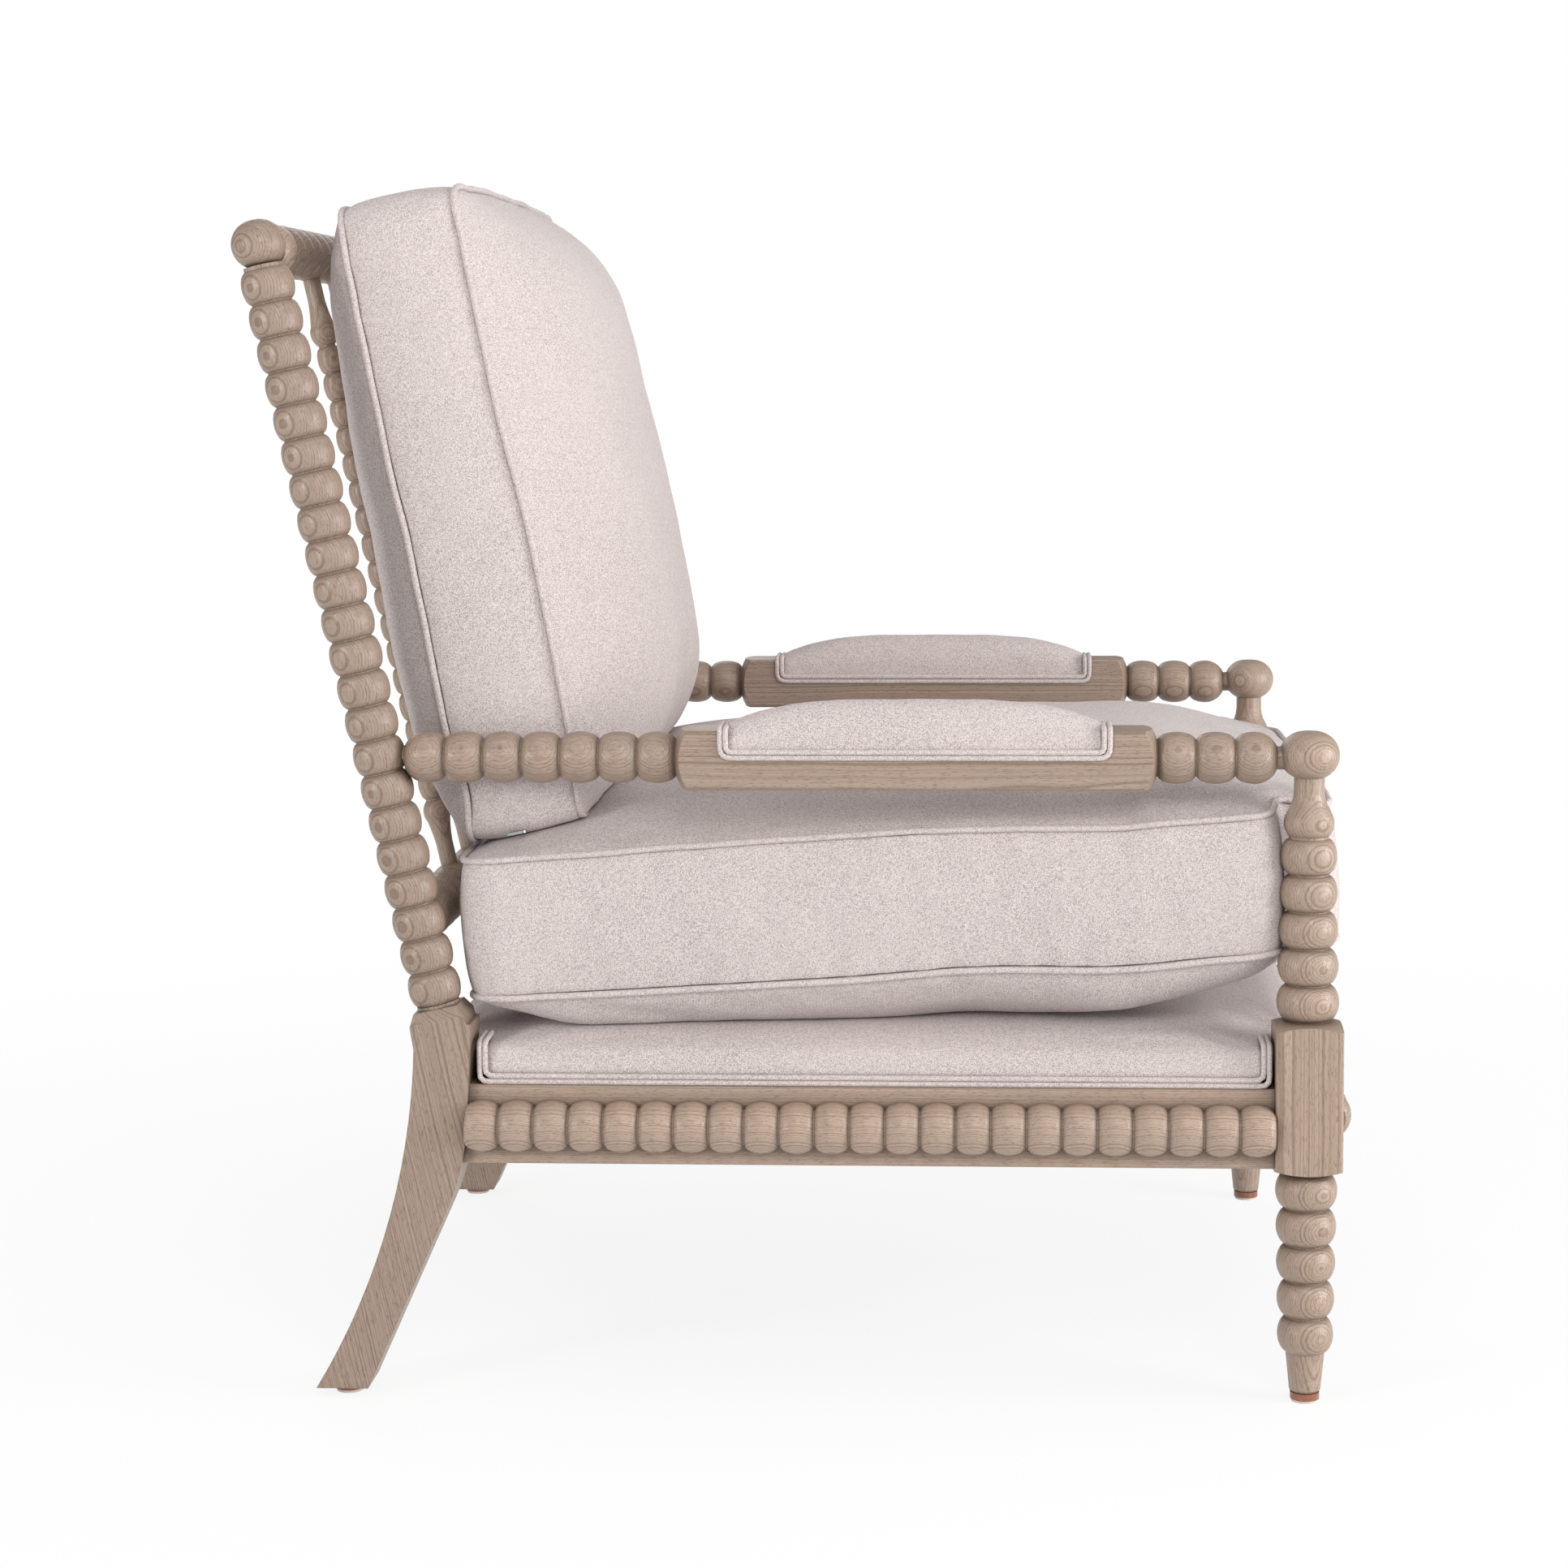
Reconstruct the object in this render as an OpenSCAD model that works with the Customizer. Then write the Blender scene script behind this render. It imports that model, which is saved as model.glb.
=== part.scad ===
// Bobbin-turned armchair with loose seat and back cushions. Millimetres.
// The chair faces -Y, +X is the sitter's left, +Z is up, and Z = 0 is the floor.
// The origin lies on the floor below the middle of the chair's bounding box.

/* [Frame] */
// Distance between the centres of the left and right legs
leg_spacing = 620; // [612:2:628]
// Place of the front legs' centre line, in front of the origin
front_leg_y = -396; // [-400:1:-392]
// Height of the arms' centre line above the floor
arm_z = 508; // [506:1:510]
// Lean of the back from upright, in degrees
back_rake = 12.4; // [12:0.1:12.8]
// Where the back's leaning plane meets the floor
back_axis_y = 216.4; // [214:0.2:218]

/* [Front legs] */
// Side of the front legs' square block
front_block_w = 52; // [50:1:54]
// Height at which the square block starts
front_block_z = 183; // [181:1:184]
// Length of the square block
front_block_h = 120; // [118:1:122]
// Length of one bead below the block
lower_bead = 28.7; // [28:0.1:29]
// Length of one bead above the block
upper_bead = 28.6; // [28.4:0.1:29]
// Beads in each of a front leg's two stacks
leg_beads = 5; // [5:1:5]

/* [Rear legs] */
// Width of the sawn part of a rear leg
rear_leg_w = 44; // [42:1:46]
// Length of one bead on a rear post
post_bead = 26.8; // [26.6:0.1:27]
// Radius of a rear post's beads
post_r = 20.65; // [20.2:0.05:20.9]
// Beads on a rear post
post_beads = 22; // [22:1:22]
// Place of a rear post's lowest groove along the leaning plane
post_start = 320.2; // [319.2:0.2:322]

/* [Back] */
// Place of the crest rail's centre along the leaning plane
crest_s = 926; // [925:1:928]
// Place of the lower back rail's centre along the leaning plane
lower_rail_s = 388; // [386:1:390]
// Radius of the two turned back rails' beads
back_rail_r = 20.65; // [20:0.05:20.65]
// Beads on each turned back rail
back_rail_beads = 18; // [18:1:18]
// Spindles between the two back rails
spindle_count = 4; // [4:1:4]
// Beads of a back rail from one spindle to the next
spindle_step = 3; // [3:1:3]
// Radius of a spindle's beads
spindle_r = 10.5; // [10:0.1:11]
// Length of one bead on a spindle
spindle_bead = 22.7; // [22.4:0.1:23]
// Beads on a spindle
spindle_beads = 17; // [17:1:17]

/* [Arms] */
// Radius of the arms' beads
arm_r = 20.2; // [19.7:0.1:20.4]
// Length of one bead on an arm
arm_bead = 30.2; // [30:0.1:30.4]
// Side of an arm's square block
arm_block_w = 46; // [45:1:47]
// Place of the arm block's front end
arm_block_y0 = -278.4; // [-279:0.2:-278]
// Place of the arm block's rear end
arm_block_y1 = 94.6; // [94:0.2:95]
// Place of the pad notch's front end
pad_y0 = -244; // [-246:1:-242]
// Place of the pad notch's rear end
pad_y1 = 61; // [59:1:63]
// Height of an arm pad's crown above the arm's centre line
pad_crown = 43.5; // [40:0.5:45]

/* [Rails] */
// Thickness of the seat rails
rail_t = 25; // [23:1:26]
// Height of the seat rails
rail_h = 63; // [61:1:64]
// Height of the seat rails' lower edge above the floor
rail_z = 188; // [187:1:189]
// Distance from a leg's centre to the outer face of the rails
rail_out = 15; // [13:1:16]
// Radius of the half-round bead moulding
moulding_r = 20.2; // [19.8:0.1:20.5]
// Beads on a side moulding
side_moulding_beads = 23; // [21:1:24]
// Beads on the front moulding
front_moulding_beads = 21; // [19:1:22]

/* [Upholstery] */
// Height of the fixed deck's crown above the rails
deck_h = 41; // [38:1:41]
// Diameter of one welt cord
welt_d = 4.4; // [4:0.1:4.8]
// Tilt of the seat cushion, front edge up, in degrees
seat_tilt = 3.45; // [3.3:0.05:3.6]
// Half width of the seat cushion behind the front legs
seat_half_w = 318; // [314:1:320]
// Height of the seat cushion's side band
seat_band = 113; // [111:1:113]
// Rise of the seat cushion's top panel above its welt
seat_crown = 44; // [40:1:44]
// Half width of the back cushion
back_half_w = 283; // [280:1:284]
// Thickness of the back cushion's side band
back_band = 92; // [90:1:94]
// Length of the back cushion's side band
back_len = 514; // [508:1:516]
// Rise of the back cushion's front panel in front of its welt
back_crown = 85; // [80:1:88]

/* [Hidden] */
$fn = 64;

wood = [0.63, 0.56, 0.49];
wood_inside = [0.72, 0.64, 0.52];
cloth = [0.82, 0.78, 0.77];
cloth_dark = [0.25, 0.25, 0.26];
steel = [0.55, 0.56, 0.58];

half_x = leg_spacing / 2;
far = 1000;                       // larger than any part, for cutting shapes
ease = 1.4;                       // chamfer on the edges of square stock
tiny = 0.5;                       // overlap between pieces of one solid

// Feet
glide_h = 7.5;
felt_h = 2.2;
glide_r = 11.5;
felt_r = 10.5;
nail_r = 1.5;
nail_in = 16;
rear_foot_y = 361;

// Front leg, from the floor up
foot_r0 = 12.3;
foot_r1 = 15.3;
foot_top_z = front_block_z - leg_beads * lower_bead;
front_block_top = front_block_z + front_block_h;
vase_z = front_block_top + leg_beads * upper_bead;
block_dome_r = 95;
block_dome_rise = 1.8;
vase_belly_r = 15;
neck_r = 11.8;
finial_tube_r = 18.5;
finial_ring_r = 4.7;
finial_z = arm_z + 2.2;

// Rear post and knob
knob_tube_r = 19.2;
knob_ring_r = 1.8;
post_groove_r = 15.7;
post_end = post_start + post_beads * post_bead;
knob_s = post_end + knob_tube_r;

// Sabre curve of a rear leg, in the side view (y, z)
sabre_r = 560;
sabre_y = 301;
sabre_z = 300;
shin_top = [256, 300];
shin_knee = [262.4, 184];
shin_toe = [342.2, 7.5];
knee_r = 200;

// Turned back rails, spindles and tenons
back_rail_groove_r = 15.6;
tenon_r = 9;
tenon_len = 20;
arm_rear_tenon_r = 5;
spindle_tenon_in = 12;
spindle_groove_r = 6.9;
spindle_neck_r = 7;
rail_span = leg_spacing - 2 * post_r;

// Arms
arm_groove_r = 14.6;
arm_dome_r = 48;
pad_corner_r = 11;
arm_front_y = front_leg_y + finial_ring_r + finial_tube_r + 0.4;
arm_rear_axis_y = back_axis_y + arm_z * tan(back_rake);

// Rails
rail_top = rail_z + rail_h;
side_rail_x = half_x + rail_out;
front_rail_y = front_leg_y - rail_out;
back_rail_y = 297;
side_rail_end = 272;               // before the sabre leg trims it
moulding_z = rail_z + rail_h / 2 - 0.3;
moulding_groove_r = 14.6;
moulding_out = 3.5;               // how far the beads' axis stands off the rail's face
front_leg_inner = half_x - front_block_w / 2;
rear_leg_inner = half_x - rear_leg_w / 2;
front_leg_back = front_leg_y + front_block_w / 2;

// Joinery inside the frame
dowel_r = 5;
dowel_in = 17;
dowel_z = [205, 235];
bolt_r = 3;
bolt_z = 219;
bolt_head_r = 6.5;
bolt_head_h = 4;
bolt_len = 68;
block_z = 197;
block_h = 44;
brace = 62;
rear_brace_y = 258;
rear_dowel_y = 260;

// Springs
wire_r = 1.9;
spring_z = 244;
spring_bends = 30;
spring_bar = 30;
spring_x = [-195, -65, 65, 195];
clip_w = 22;

// Deck
cover_t = 1.5;
deck_x = side_rail_x - 3;
deck_y0 = front_rail_y + 3;
deck_y1 = back_rail_y - 1;
deck_clear = 2;
deck_leg_y = shin_top[0] - 3;       // front end of the notches round the rear legs
deck_welt_rise = 26;

// Seat cushion, in its own tilted frame
seat_c_y = -49;
seat_c_z = 391;
seat_y0 = 31 - 347;
seat_y1 = 664 - 347;
seat_tongue_y = -26 - 347;
seat_tongue_x = 281;
seat_bow = 12.3;
seat_floor_crown = 39;
seat_corner = 10;

// Back cushion, in a frame set on the leaning plane
back_c_d = 53.5;
back_c_s = 690;
back_lean_less = 1.76;
back_rear_crown = 28;
back_nest = 0.8;

// Radius of an arc from its half chord and its rise
function arc_radius(half, rise) = (half * half + rise * rise) / (2 * rise);

// Value that runs evenly from a to b as i runs from 0 to n - 1
function even(a, b, i, n) = a + (b - a) * i / (n - 1);

// ---------- shapes that repeat ----------

// Half outline of one turned bead, centred on z = 0: a flat arc with a tighter arc at each end.
// The end arcs stand a hair proud of touching the flat arc, so that they cross it cleanly.
module bead_outline(crest, groove, pitch) {
  end_r = 0.68 * pitch / 2;
  sag = 0.18 * (crest - groove);
  land = 0.4;
  proud = 0.03;
  cx = crest - sag - end_r;
  cz = pitch / 2 - land - sqrt(end_r * end_r - (groove - cx) * (groove - cx));
  q = crest - cx;
  big_r = (q * q + cz * cz - end_r * end_r) / (2 * sag);
  meet = cz * big_r / (big_r - end_r);
  intersection() {
    translate([crest - big_r, 0]) circle(big_r);
    union() {
      translate([0, -meet]) square([crest + 1, 2 * meet]);
      for (side = [-1, 1])
        intersection() {
          translate([cx + proud, side * cz]) circle(end_r);
          translate([0, side > 0 ? 0 : -pitch / 2]) square([crest + 1, pitch / 2]);
        }
    }
  }
}

// Stack of beads on a core from z = 0 up, whose radii run evenly from the first to the last
module bead_stack(count, pitch, crest0, crest1, groove0, groove1) {
  polygon([[0, 0], [groove0, 0], [groove1, count * pitch], [0, count * pitch]]);
  for (i = [0 : count - 1])
    translate([0, (i + 0.5) * pitch])
      bead_outline(even(crest0, crest1, i, count), even(groove0, groove1, i, count), pitch);
}

// Rectangle centred on the origin with small chamfers at its corners
module eased_rect(w, h, e = ease) {
  polygon([
    [-w / 2 + e, -h / 2], [w / 2 - e, -h / 2], [w / 2, -h / 2 + e], [w / 2, h / 2 - e],
    [w / 2 - e, h / 2], [-w / 2 + e, h / 2], [-w / 2, h / 2 - e], [-w / 2, -h / 2 + e]
  ]);
}

// Board along an axis: the outline lies across it
module board_x(len, w, h) { rotate([90, 0, 90]) linear_extrude(len) eased_rect(w, h); }
module board_y(len, w, h) { rotate([90, 0, 180]) linear_extrude(len) eased_rect(w, h); }

// Round bar along an axis
module bar_x(r, len) { rotate([0, 90, 0]) cylinder(r = r, h = len); }
module bar_y(r, len) { rotate([-90, 0, 0]) cylinder(r = r, h = len); }

// Rounded mushroom cap for the top of a post
module cap_outline(ring, tube) {
  intersection() {
    union() {
      translate([ring, 0]) circle(tube);
      translate([0, -tube]) square([ring, 2 * tube]);
    }
    translate([0, -tube]) square([ring + tube + 1, 2 * tube]);
  }
}

// Frame of the leaning back: z runs up the slope, and y is square to it
module on_back() { translate([0, back_axis_y, 0]) rotate([-back_rake, 0, 0]) children(); }

// Frame of the tilted seat cushion
module on_seat() { translate([0, seat_c_y, seat_c_z]) rotate([-seat_tilt, 0, 0]) children(); }

// Frame of the back cushion: y = 0 is its rear welt, and -y is towards the sitter
module on_back_cushion() {
  on_back() translate([0, -back_c_d, back_c_s]) rotate([back_lean_less, 0, 0]) children();
}

// Slab whose two faces are arched both ways, between z = -below and z = above before arching
module pillow(half_w, half_l, above, below, top_rise, floor_rise) {
  rx = arc_radius(half_w, top_rise);
  ry = arc_radius(half_l, top_rise);
  intersection() {
    translate([0, far / 2, above + top_rise - rx]) rotate([90, 0, 0]) cylinder(r = rx, h = far, $fn = 200);
    translate([-far / 2, 0, above + top_rise - ry]) bar_x(ry, far, $fn = 200);
    translate([-far / 2, -far / 2, -below]) cube([far, far, far]);
  }
  fx = arc_radius(half_w, floor_rise);
  fy = arc_radius(half_l, floor_rise);
  intersection() {
    translate([0, far / 2, fx - below - floor_rise]) rotate([90, 0, 0]) cylinder(r = fx, h = far, $fn = 200);
    translate([-far / 2, 0, fy - below - floor_rise]) bar_x(fy, far, $fn = 200);
    translate([-far / 2, -far / 2, -far - below + tiny]) cube([far, far, far]);
  }
}

// ---------- legs ----------

module front_leg_outline() {
  translate([0, glide_h])
    polygon([
      [0, 0], [foot_r0 - 2, 0], [foot_r0, 2.2], [foot_r1, foot_top_z - glide_h], [0, foot_top_z - glide_h]
    ]);
  translate([0, foot_top_z]) bead_stack(leg_beads, lower_bead, 21.9, 24.1, 15.3, 17);
  translate([0, front_block_z - tiny]) square([17.3, front_block_h + 2 * tiny]);
  translate([0, front_block_top]) bead_stack(leg_beads, upper_bead, 24.3, 21.8, 17.2, 15.4);
  vase_outline();
  translate([0, finial_z]) cap_outline(finial_ring_r, finial_tube_r);
}

// Vase-shaped neck below the finial
module vase_outline() {
  translate([0, vase_z])
    intersection() {
      translate([4.5, 11.5]) circle(vase_belly_r);
      translate([0, 0]) square([far, 17.5]);
    }
  translate([0, vase_z])
    polygon([
      [0, 0], [15.4, 0], [15.4, 17.5], [18.2, 17.5], [16.2, 21.8], [14, 26], [12.6, 30.5],
      [neck_r, 36.5], [neck_r, finial_z - vase_z], [0, finial_z - vase_z]
    ]);
}

// Square block with a turned shoulder at each end
module front_block() {
  intersection() {
    translate([0, 0, front_block_z - block_dome_rise])
      linear_extrude(front_block_h + 2 * block_dome_rise) eased_rect(front_block_w, front_block_w);
    translate([0, 0, front_block_top + block_dome_rise - block_dome_r]) sphere(block_dome_r, $fn = 160);
    translate([0, 0, front_block_z - block_dome_rise + block_dome_r]) sphere(block_dome_r, $fn = 160);
  }
}

module front_leg(side) {
  color(wood)
    difference() {
      translate([side * half_x, front_leg_y, 0]) {
        rotate_extrude() front_leg_outline();
        front_block();
      }
      translate([side * half_x, front_leg_y, glide_h - 1]) cylinder(r = nail_r, h = nail_in + 1);
      translate([side * half_x, arm_front_y - tenon_len, arm_z]) bar_y(tenon_r, 2 * tenon_len);
      frame_bores();
    }
}

// Side view of the sawn sabre leg, as (y, z)
module sabre_outline() {
  back = 500;
  a_dir = (shin_knee - shin_top) / norm(shin_knee - shin_top);
  b_dir = (shin_toe - shin_knee) / norm(shin_toe - shin_knee);
  turn = acos(a_dir * b_dir);
  reach = knee_r * tan(turn / 2);
  ta = shin_knee - reach * a_dir;
  tb = shin_knee + reach * b_dir;
  centre = ta + knee_r * [-a_dir[1], a_dir[0]];
  difference() {
    union() {
      polygon([shin_top, ta, tb, shin_toe, [back, shin_toe[1]], [back, shin_top[1]]]);
      intersection() {
        translate(centre) circle(knee_r, $fn = 200);
        polygon([centre, centre + 1.2 * (ta - centre), centre + 1.2 * (tb - centre)]);
      }
    }
    translate([sabre_y + sabre_r, sabre_z]) circle(sabre_r, $fn = 300);
    translate([sabre_y + sabre_r / 2, -1]) square([far, far]);
  }
}

// Top of the sabre leg: a square block on the leaning axis, chamfered on its four upper edges
module rear_block() {
  h0 = 292;
  h1 = 309;
  h2 = 318;
  w = rear_leg_w;
  n = w - 9;
  on_back()
    intersection() {
      translate([w / 2, 0, 0]) rotate([90, 0, -90]) linear_extrude(w)
        polygon([[-23, h0], [23, h0], [22, h1], [n / 2, h2], [-n / 2, h2], [-22, h1]]);
      translate([0, 30, 0]) rotate([90, 0, 0]) linear_extrude(60)
        polygon([[-w / 2, h0], [w / 2, h0], [w / 2, h1], [n / 2, h2], [-n / 2, h2], [-w / 2, h1]]);
    }
}

module rear_post_outline() {
  translate([0, post_start - 12]) square([post_groove_r + 1.2, 12 + tiny]);
  translate([0, post_start]) bead_stack(post_beads, post_bead, post_r, post_r, post_groove_r, post_groove_r);
  translate([0, post_end - tiny]) square([post_groove_r, 3]);
  translate([0, knob_s]) cap_outline(knob_ring_r, knob_tube_r);
}

module rear_leg(side) {
  color(wood)
    difference() {
      translate([side * half_x, 0, 0]) {
        translate([-rear_leg_w / 2, 0, 0]) rotate([90, 0, 90]) linear_extrude(rear_leg_w) sabre_outline();
        rear_block();
        on_back() rotate_extrude() rear_post_outline();
      }
      translate([side * half_x, rear_foot_y, glide_h - 1]) cylinder(r = nail_r, h = nail_in + 1);
      translate([side * half_x, arm_rear_axis_y - tenon_len - 10, arm_z]) bar_y(arm_rear_tenon_r, tenon_len + 13);
      on_back()
        for (s = [crest_s, lower_rail_s])
          translate([side * half_x - (side > 0 ? post_r + 1 : -3), 0, s]) bar_x(tenon_r, post_r - 2);
      frame_bores();
    }
}

// ---------- back ----------

// Bead-turned rail between the rear posts, with a round tenon at each end
module turned_back_rail(s) {
  pitch = rail_span / back_rail_beads;
  color(wood)
    difference() {
      on_back() translate([0, 0, s]) {
        translate([-rail_span / 2, 0, 0]) rotate([0, 90, 0]) rotate_extrude()
          bead_stack(back_rail_beads, pitch, back_rail_r, back_rail_r, back_rail_groove_r, back_rail_groove_r);
        translate([-half_x + 3, 0, 0]) bar_x(tenon_r, leg_spacing - 6);
      }
      spindle_sockets();
    }
}

function spindle_x(i) = (i - (spindle_count + 1) / 2) * spindle_step * rail_span / back_rail_beads;

// Holes that take the ends of the spindles
module spindle_sockets() {
  low = lower_rail_s + back_rail_r - spindle_tenon_in;
  high = crest_s - back_rail_r + spindle_tenon_in;
  on_back()
    for (i = [1 : spindle_count])
      translate([spindle_x(i), 0, low]) cylinder(r = spindle_neck_r, h = high - low);
}

// One end of a spindle, from the last bead groove at z = 0 to its end inside the rail
module spindle_end_outline(reach) {
  intersection() {
    translate([-2.7, 11]) circle(14);
    translate([0, 0]) square([far, 17]);
  }
  polygon([
    [0, 0], [spindle_groove_r, 0], [spindle_groove_r, 17], [9.8, 17], [8.7, 23], [7.7, 30],
    [spindle_neck_r, 38], [spindle_neck_r, reach], [0, reach]
  ]);
}

module back_spindle(i) {
  mid = (crest_s + lower_rail_s) / 2;
  beads_h = spindle_beads * spindle_bead;
  reach = (crest_s - lower_rail_s - beads_h) / 2 - back_rail_r + spindle_tenon_in - 1;
  color(wood)
    on_back() translate([spindle_x(i), 0, mid])
      rotate_extrude() {
        translate([0, -beads_h / 2])
          bead_stack(spindle_beads, spindle_bead, spindle_r, spindle_r, spindle_groove_r, spindle_groove_r);
        translate([0, beads_h / 2]) spindle_end_outline(reach);
        translate([0, -beads_h / 2]) mirror([0, 1]) spindle_end_outline(reach);
      }
}

// ---------- arms ----------

// Half outline of a ball that ends an arm, with its flat end at z = 0
module arm_end_outline(len) {
  ball = 18.6;
  intersection() {
    translate([arm_r - ball, len - arm_bead / 2]) circle(ball);
    square([far, len - arm_bead / 2]);
  }
  intersection() {
    translate([0, len - arm_bead / 2]) bead_outline(arm_r, arm_groove_r, arm_bead);
    translate([0, len - arm_bead / 2]) square([far, arm_bead]);
  }
  translate([0, len - arm_bead / 2]) square([arm_groove_r, arm_bead / 2]);
}

module arm_outline() {
  front_len = arm_block_y0 - arm_front_y;
  rear_len = arm_rear_axis_y - arm_block_y1;
  translate([0, arm_block_y0 - arm_bead * 2]) bead_stack(2, arm_bead, arm_r, arm_r, arm_groove_r, arm_groove_r);
  translate([0, arm_front_y]) arm_end_outline(front_len - 2 * arm_bead);
  translate([0, arm_block_y1]) bead_stack(6, arm_bead, arm_r, arm_r, arm_groove_r, arm_groove_r);
  translate([0, arm_rear_axis_y - post_r]) mirror([0, 1]) arm_end_outline(rear_len - post_r - 6 * arm_bead);
  translate([0, arm_front_y - tenon_len + 4]) square([tenon_r, arm_rear_axis_y - arm_front_y + tenon_len - 4]);
  translate([0, arm_block_y0 - tiny]) square([arm_groove_r, arm_block_y1 - arm_block_y0 + 2 * tiny]);
}

// Side view of the notch that takes the pad, as (y, z) from the arm's centre line
module pad_notch_outline() {
  r = pad_corner_r;
  translate([pad_y0 + r, 0]) square([pad_y1 - pad_y0 - 2 * r, far]);
  translate([pad_y0, r]) square([pad_y1 - pad_y0, far]);
  for (y = [pad_y0 + r, pad_y1 - r]) translate([y, r]) circle(r);
}

// Square block of an arm with a turned dome at each end
module arm_block() {
  rise = arm_groove_r * arm_groove_r / (2 * arm_dome_r);
  len = arm_block_y1 - arm_block_y0 + 2 * rise;
  mid = (arm_block_y0 + arm_block_y1) / 2;
  intersection() {
    translate([0, mid - len / 2, 0]) board_y(len, arm_block_w, arm_block_w);
    dome_bar(mid, len);
  }
}

// Round bar along Y with a domed end each way, wide enough to hold the square block
module dome_bar(mid, len) {
  wide = arm_block_w;
  drop = arm_dome_r - sqrt(arm_dome_r * arm_dome_r - wide * wide * 0.56);
  translate([0, mid, 0]) {
    translate([0, -(len / 2 - drop), 0]) bar_y(wide, len - 2 * drop);
    for (side = [-1, 1])
      intersection() {
        translate([0, side * (len / 2 - arm_dome_r), 0]) sphere(arm_dome_r, $fn = 160);
        translate([-far / 2, side > 0 ? 0 : -far, -far / 2]) cube([far, far, far]);
      }
  }
}

module arm(side) {
  color(wood)
    difference() {
      translate([side * half_x, 0, arm_z]) {
        rotate([-90, 0, 0]) rotate_extrude() arm_outline();
        arm_block();
      }
      translate([side * half_x, 0, arm_z]) pad_notch_block();
      difference() {
        on_back() translate([side * half_x, 0, 300]) cylinder(r = post_r + 0.05, h = 400);
        translate([side * half_x, arm_rear_axis_y - 60, arm_z]) bar_y(arm_rear_tenon_r, 63);
      }
    }
}

// ---------- seat frame ----------

module side_rail(side) {
  len = side_rail_end - front_leg_back;
  color(wood)
    difference() {
      translate([side * (side_rail_x - rail_t / 2), front_leg_back, rail_z + rail_h / 2]) board_y(len, rail_t, rail_h);
      rear_leg_blank(side);
      frame_bores();
    }
}

// Sabre leg extruded wide, to trim whatever meets it
module rear_leg_blank(side) {
  translate([side * half_x - 60, 0, 0]) rotate([90, 0, 90]) linear_extrude(120) sabre_outline();
}

module front_rail() {
  color(wood)
    difference() {
      translate([-front_leg_inner, front_rail_y + rail_t / 2, rail_z + rail_h / 2])
        board_x(2 * front_leg_inner, rail_t, rail_h);
      frame_bores();
    }
}

module back_rail() {
  color(wood)
    difference() {
      translate([-rear_leg_inner, back_rail_y - rail_t / 2, rail_z + rail_h / 2])
        board_x(2 * rear_leg_inner, rail_t, rail_h);
      frame_bores();
    }
}

module side_moulding(side) {
  len = shin_knee[0] - front_leg_back;
  pitch = len / side_moulding_beads;
  color(wood)
    intersection() {
      difference() {
        translate([side * (side_rail_x + moulding_out), front_leg_back, moulding_z])
          rotate([-90, 0, 0]) rotate_extrude()
          bead_stack(side_moulding_beads, pitch, moulding_r, moulding_r, moulding_groove_r, moulding_groove_r);
        rear_leg_blank(side);
      }
      translate([side > 0 ? side_rail_x : -side_rail_x - 50, -far / 2, 0]) cube([50, far, far / 2]);
    }
}

module front_moulding() {
  pitch = 2 * front_leg_inner / front_moulding_beads;
  color(wood)
    intersection() {
      translate([-front_leg_inner, front_rail_y - moulding_out, moulding_z]) rotate([0, 90, 0]) rotate_extrude()
        bead_stack(front_moulding_beads, pitch, moulding_r, moulding_r, moulding_groove_r, moulding_groove_r);
      translate([-far / 2, front_rail_y - 50, 0]) cube([far, 50, far / 2]);
    }
}

// Plan of a corner brace, for the +X side, notched round its leg
module brace_plan(front) {
  inner = side_rail_x - rail_t;
  if (front) {
    y = front_rail_y + rail_t;
    lx = front_leg_inner - 2;
    ly = front_leg_back + 2;
    polygon([[inner, ly + brace], [inner, ly], [lx, ly], [lx, y], [lx - brace, y]]);
  } else {
    y = back_rail_y - rail_t;
    lx = rear_leg_inner - 2;
    ly = rear_brace_y;
    polygon([[inner, ly - brace], [inner, ly], [lx, ly], [lx, y], [lx - brace, y]]);
  }
}

module corner_block(side, front) {
  color(wood_inside)
    difference() {
      mirror([side < 0 ? 1 : 0, 0, 0]) translate([0, 0, block_z]) linear_extrude(block_h) brace_plan(front);
      bolt_bores();
    }
}

// Tip and heading of the front and rear corner bolts on the +X side: [x, y, turn about Z]
bolt_rows = [[half_x - 2, front_leg_y + 2, 135], [half_x, 282, -135]];

module each_bolt() {
  for (side = [-1, 1], row = bolt_rows)
    mirror([side < 0 ? 1 : 0, 0, 0])
      translate([row[0], row[1], bolt_z]) rotate([0, 0, row[2]]) children();
}

module bolt_bores() { each_bolt() bar_x(bolt_r, bolt_len + 40); }

module corner_bolts() {
  color(steel)
    each_bolt() {
      bar_x(bolt_r, bolt_len + 2);
      translate([bolt_len, 0, 0]) rotate([0, 90, 0]) cylinder(r = bolt_head_r, h = bolt_head_h, $fn = 6);
    }
}

// Dowels between the rails and the legs
module each_dowel(extra) {
  side_x = side_rail_x - rail_t / 2;
  front_y = front_rail_y + rail_t / 2;
  back_y = back_rail_y - rail_t / 2;
  for (side = [-1, 1], z = dowel_z) {
    translate([side * side_x, front_leg_back - dowel_in - extra, z]) bar_y(dowel_r, 2 * (dowel_in + extra));
    translate([side * side_x, rear_dowel_y - dowel_in - extra, z]) bar_y(dowel_r, 2 * (dowel_in + extra));
    translate([side * front_leg_inner - dowel_in - extra, front_y, z]) bar_x(dowel_r, 2 * (dowel_in + extra));
    translate([side * rear_leg_inner - dowel_in - extra, back_y, z]) bar_x(dowel_r, 2 * (dowel_in + extra));
  }
}

module rail_dowels() { color(wood_inside) each_dowel(0); }

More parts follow.
